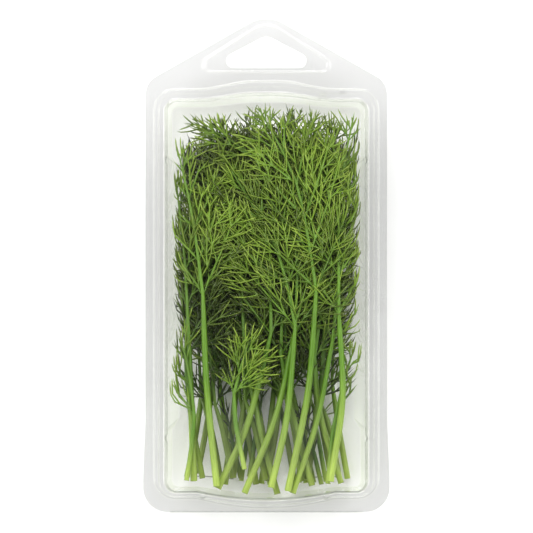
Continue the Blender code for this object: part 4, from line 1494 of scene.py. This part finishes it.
def cut_foot(bm, shoot, growth_layer, grain_layer):
    """The first short length of the stem, with its cut end."""
    bmesh.ops.create_cone(bm, cap_ends=True, segments=STEM_SIDES, radius1=1.0, radius2=1.0, depth=1.0)
    caps = [face for face in bm.faces if len(face.verts) == STEM_SIDES]
    top = max(caps, key=lambda face: face.calc_center_median().z)
    bottom = min(caps, key=lambda face: face.calc_center_median().z)
    ring = list(top.verts)
    ends = [[edge.other_vert(vertex) for edge in vertex.link_edges] for vertex in ring]
    foot_ring = [next(end for end in near if end not in ring) for near in ends]
    radius = shoot.rings[0][2]
    for vertices, distance in ((foot_ring, 0.0), (ring, 0.4 * MM)):
        centre, tangent = along(shoot.path, distance)
        for n, (vertex, direction) in enumerate(zip(vertices, ring_directions(tangent, STEM_SIDES))):
            turn = 2 * math.pi * n / STEM_SIDES
            vertex.co = centre + direction * radius
            vertex[growth_layer] = Vector((0.0, shoot.shade, 0.0))
            vertex[grain_layer] = Vector((math.cos(turn), math.sin(turn), distance * GRAIN_RUN))
    bmesh.ops.inset_region(bm, faces=[bottom], thickness=0.25 * MM, depth=-0.15 * MM)
    shoot.face = top
    shoot.ring = ring


def grow_sprig(sprig, others, dill, finish):
    """One sprig as one closed body, grown from its cut end outwards."""
    bm = bmesh.new()
    growth_layer = bm.verts.layers.float_vector.new("growth")
    grain_layer = bm.verts.layers.float_vector.new("grain")
    shoot = main_shoot(sprig, others, dill)
    cut_foot(bm, shoot, growth_layer, grain_layer)
    shoots = [shoot]
    while shoots:
        shoots = grow(bm, shoots, growth_layer, grain_layer)
    bmesh.ops.remove_doubles(bm, verts=bm.verts, dist=MERGE_DISTANCE)
    bmesh.ops.recalc_face_normals(bm, faces=bm.faces)
    for face in bm.faces:
        face.smooth = len(face.verts) < STEM_SIDES
    return piece_from("dill_" + sprig.name, bm, finish, "pack", ["sprig_" + sprig.name])


class DILL_OT_sprigs(bpy.types.Operator):
    """Grow the dill sprigs"""

    bl_idname = "dill.sprigs"
    bl_label = "Dill sprigs"

    def execute(self, context):
        dill = context.scene.dill_herb
        finish = dill_material(dill)
        sprigs = front_sprigs() + back_sprigs() + low_sprigs()
        for sprig in sprigs:
            grow_sprig(sprig, sprigs, dill, finish)
        return {"FINISHED"}


# The studio


def area_light(name, place, size, power):
    """A square soft light that looks at the pack."""
    light = bpy.data.lights.new(name, "AREA")
    light.size = size
    light.energy = power
    lamp = bpy.data.objects.new(name, light)
    bpy.context.scene.collection.objects.link(lamp)
    lamp.location = place
    lamp.rotation_euler = (-Vector(place)).to_track_quat("-Z", "Y").to_euler()


class DILL_OT_studio(bpy.types.Operator):
    """Set up the pale floor, the soft lights and the camera above the pack"""

    bl_idname = "dill.studio"
    bl_label = "Studio"

    def execute(self, context):
        scene = context.scene
        studio = scene.dill_studio
        self.floor(studio)
        self.surroundings(scene, studio)
        area_light("key_light", KEY_PLACE, 0.9, studio.key_power)
        for side in (-1, 1):
            place = (side * SIDE_PLACE[0], SIDE_PLACE[1], SIDE_PLACE[2])
            area_light("side_light", place, 1.0, studio.side_power)
        area_light("glint_light", GLINT_PLACE, 0.12, studio.glint_power)
        self.camera(scene, studio)
        scene.view_settings.view_transform = "Standard"
        scene.cycles.transparent_max_bounces = 32
        return {"FINISHED"}

    def floor(self, studio):
        """Matt pale studio paper."""
        made, tree = new_material("matt_studio_paper")
        shader = add_node(
            tree, "ShaderNodeBsdfPrincipled", {"Base Color": linear(studio.floor_colour), "Roughness": 0.9}
        )
        add_node(tree, "ShaderNodeOutputMaterial", None, Surface=shader.outputs["BSDF"])
        bm = bmesh.new()
        bmesh.ops.create_grid(bm, x_segments=1, y_segments=1, size=FLOOR_HALF_WIDTH)
        bmesh.ops.translate(bm, verts=bm.verts, vec=(0, 0, -FLOOR_DROP))
        floor = new_object("floor", bm, made)

    def surroundings(self, scene, studio):
        """A pale room, darker straight above, where the camera hangs."""
        world = bpy.data.worlds.new("pale_room")
        world.use_nodes = True
        tree = world.node_tree
        tree.nodes.clear()
        direction = add_node(tree, "ShaderNodeTexCoord").outputs["Generated"]
        height = add_node(tree, "ShaderNodeSeparateXYZ", None, Vector=direction).outputs["Z"]
        strength = add_node(
            tree,
            "ShaderNodeMapRange",
            {
                "interpolation_type": "SMOOTHSTEP",
                "From Min": 0.5,
                "From Max": 0.95,
                "To Min": studio.sky,
                "To Max": studio.ceiling,
            },
            Value=height,
        )
        sky = add_node(tree, "ShaderNodeBackground", None, Strength=strength.outputs["Result"])
        add_node(tree, "ShaderNodeOutputWorld", None, Surface=sky.outputs["Background"])
        scene.world = world

    def camera(self, scene, studio):
        """A long lens straight above the pack."""
        data = bpy.data.cameras.new("camera")
        data.sensor_width = 36.0
        data.lens = data.sensor_width * studio.camera_height / studio.frame_width
        pixel = studio.frame_width / PHOTO_PIXELS
        camera = bpy.data.objects.new("camera", data)
        scene.collection.objects.link(camera)
        right, up = CAMERA_SHIFT
        camera.location = (right * pixel, up * pixel, HINGE_Z + studio.camera_height)
        scene.camera = camera


class DILL_PT_panel(bpy.types.Panel):
    """Lists the pieces of the dill clamshell"""

    bl_idname = "DILL_PT_panel"
    bl_label = "Dill Clamshell"
    bl_space_type = "VIEW_3D"
    bl_region_type = "UI"
    bl_category = "Dill Clamshell"

    def draw(self, context):
        scene = context.scene
        groups = (
            (scene.dill_pack, ("dill.tray", "dill.lid", "dill.hinge")),
            (scene.dill_herb, ("dill.sprigs",)),
            (scene.dill_studio, ("dill.studio",)),
        )
        for settings, operators in groups:
            box = self.layout.box()
            for name in settings.__annotations__:
                box.prop(settings, name)
            for operator in operators:
                box.operator(operator)


CLASSES = (
    PackSettings,
    DillSettings,
    StudioSettings,
    DILL_OT_tray,
    DILL_OT_lid,
    DILL_OT_hinge,
    DILL_OT_sprigs,
    DILL_OT_studio,
    DILL_PT_panel,
)


def register():
    """Registers the classes, and the settings on the scene."""
    for item in CLASSES:
        bpy.utils.register_class(item)
    bpy.types.Scene.dill_pack = bpy.props.PointerProperty(type=PackSettings)
    bpy.types.Scene.dill_herb = bpy.props.PointerProperty(type=DillSettings)
    bpy.types.Scene.dill_studio = bpy.props.PointerProperty(type=StudioSettings)


def unregister():
    """Undoes register."""
    del bpy.types.Scene.dill_studio
    del bpy.types.Scene.dill_herb
    del bpy.types.Scene.dill_pack
    for item in reversed(CLASSES):
        bpy.utils.unregister_class(item)


def main():
    """Makes the stage and every piece."""
    register()
    bpy.ops.dill.studio()
    bpy.ops.dill.tray()
    bpy.ops.dill.lid()
    bpy.ops.dill.hinge()
    bpy.ops.dill.sprigs()


if __name__ == "__main__":
    main()
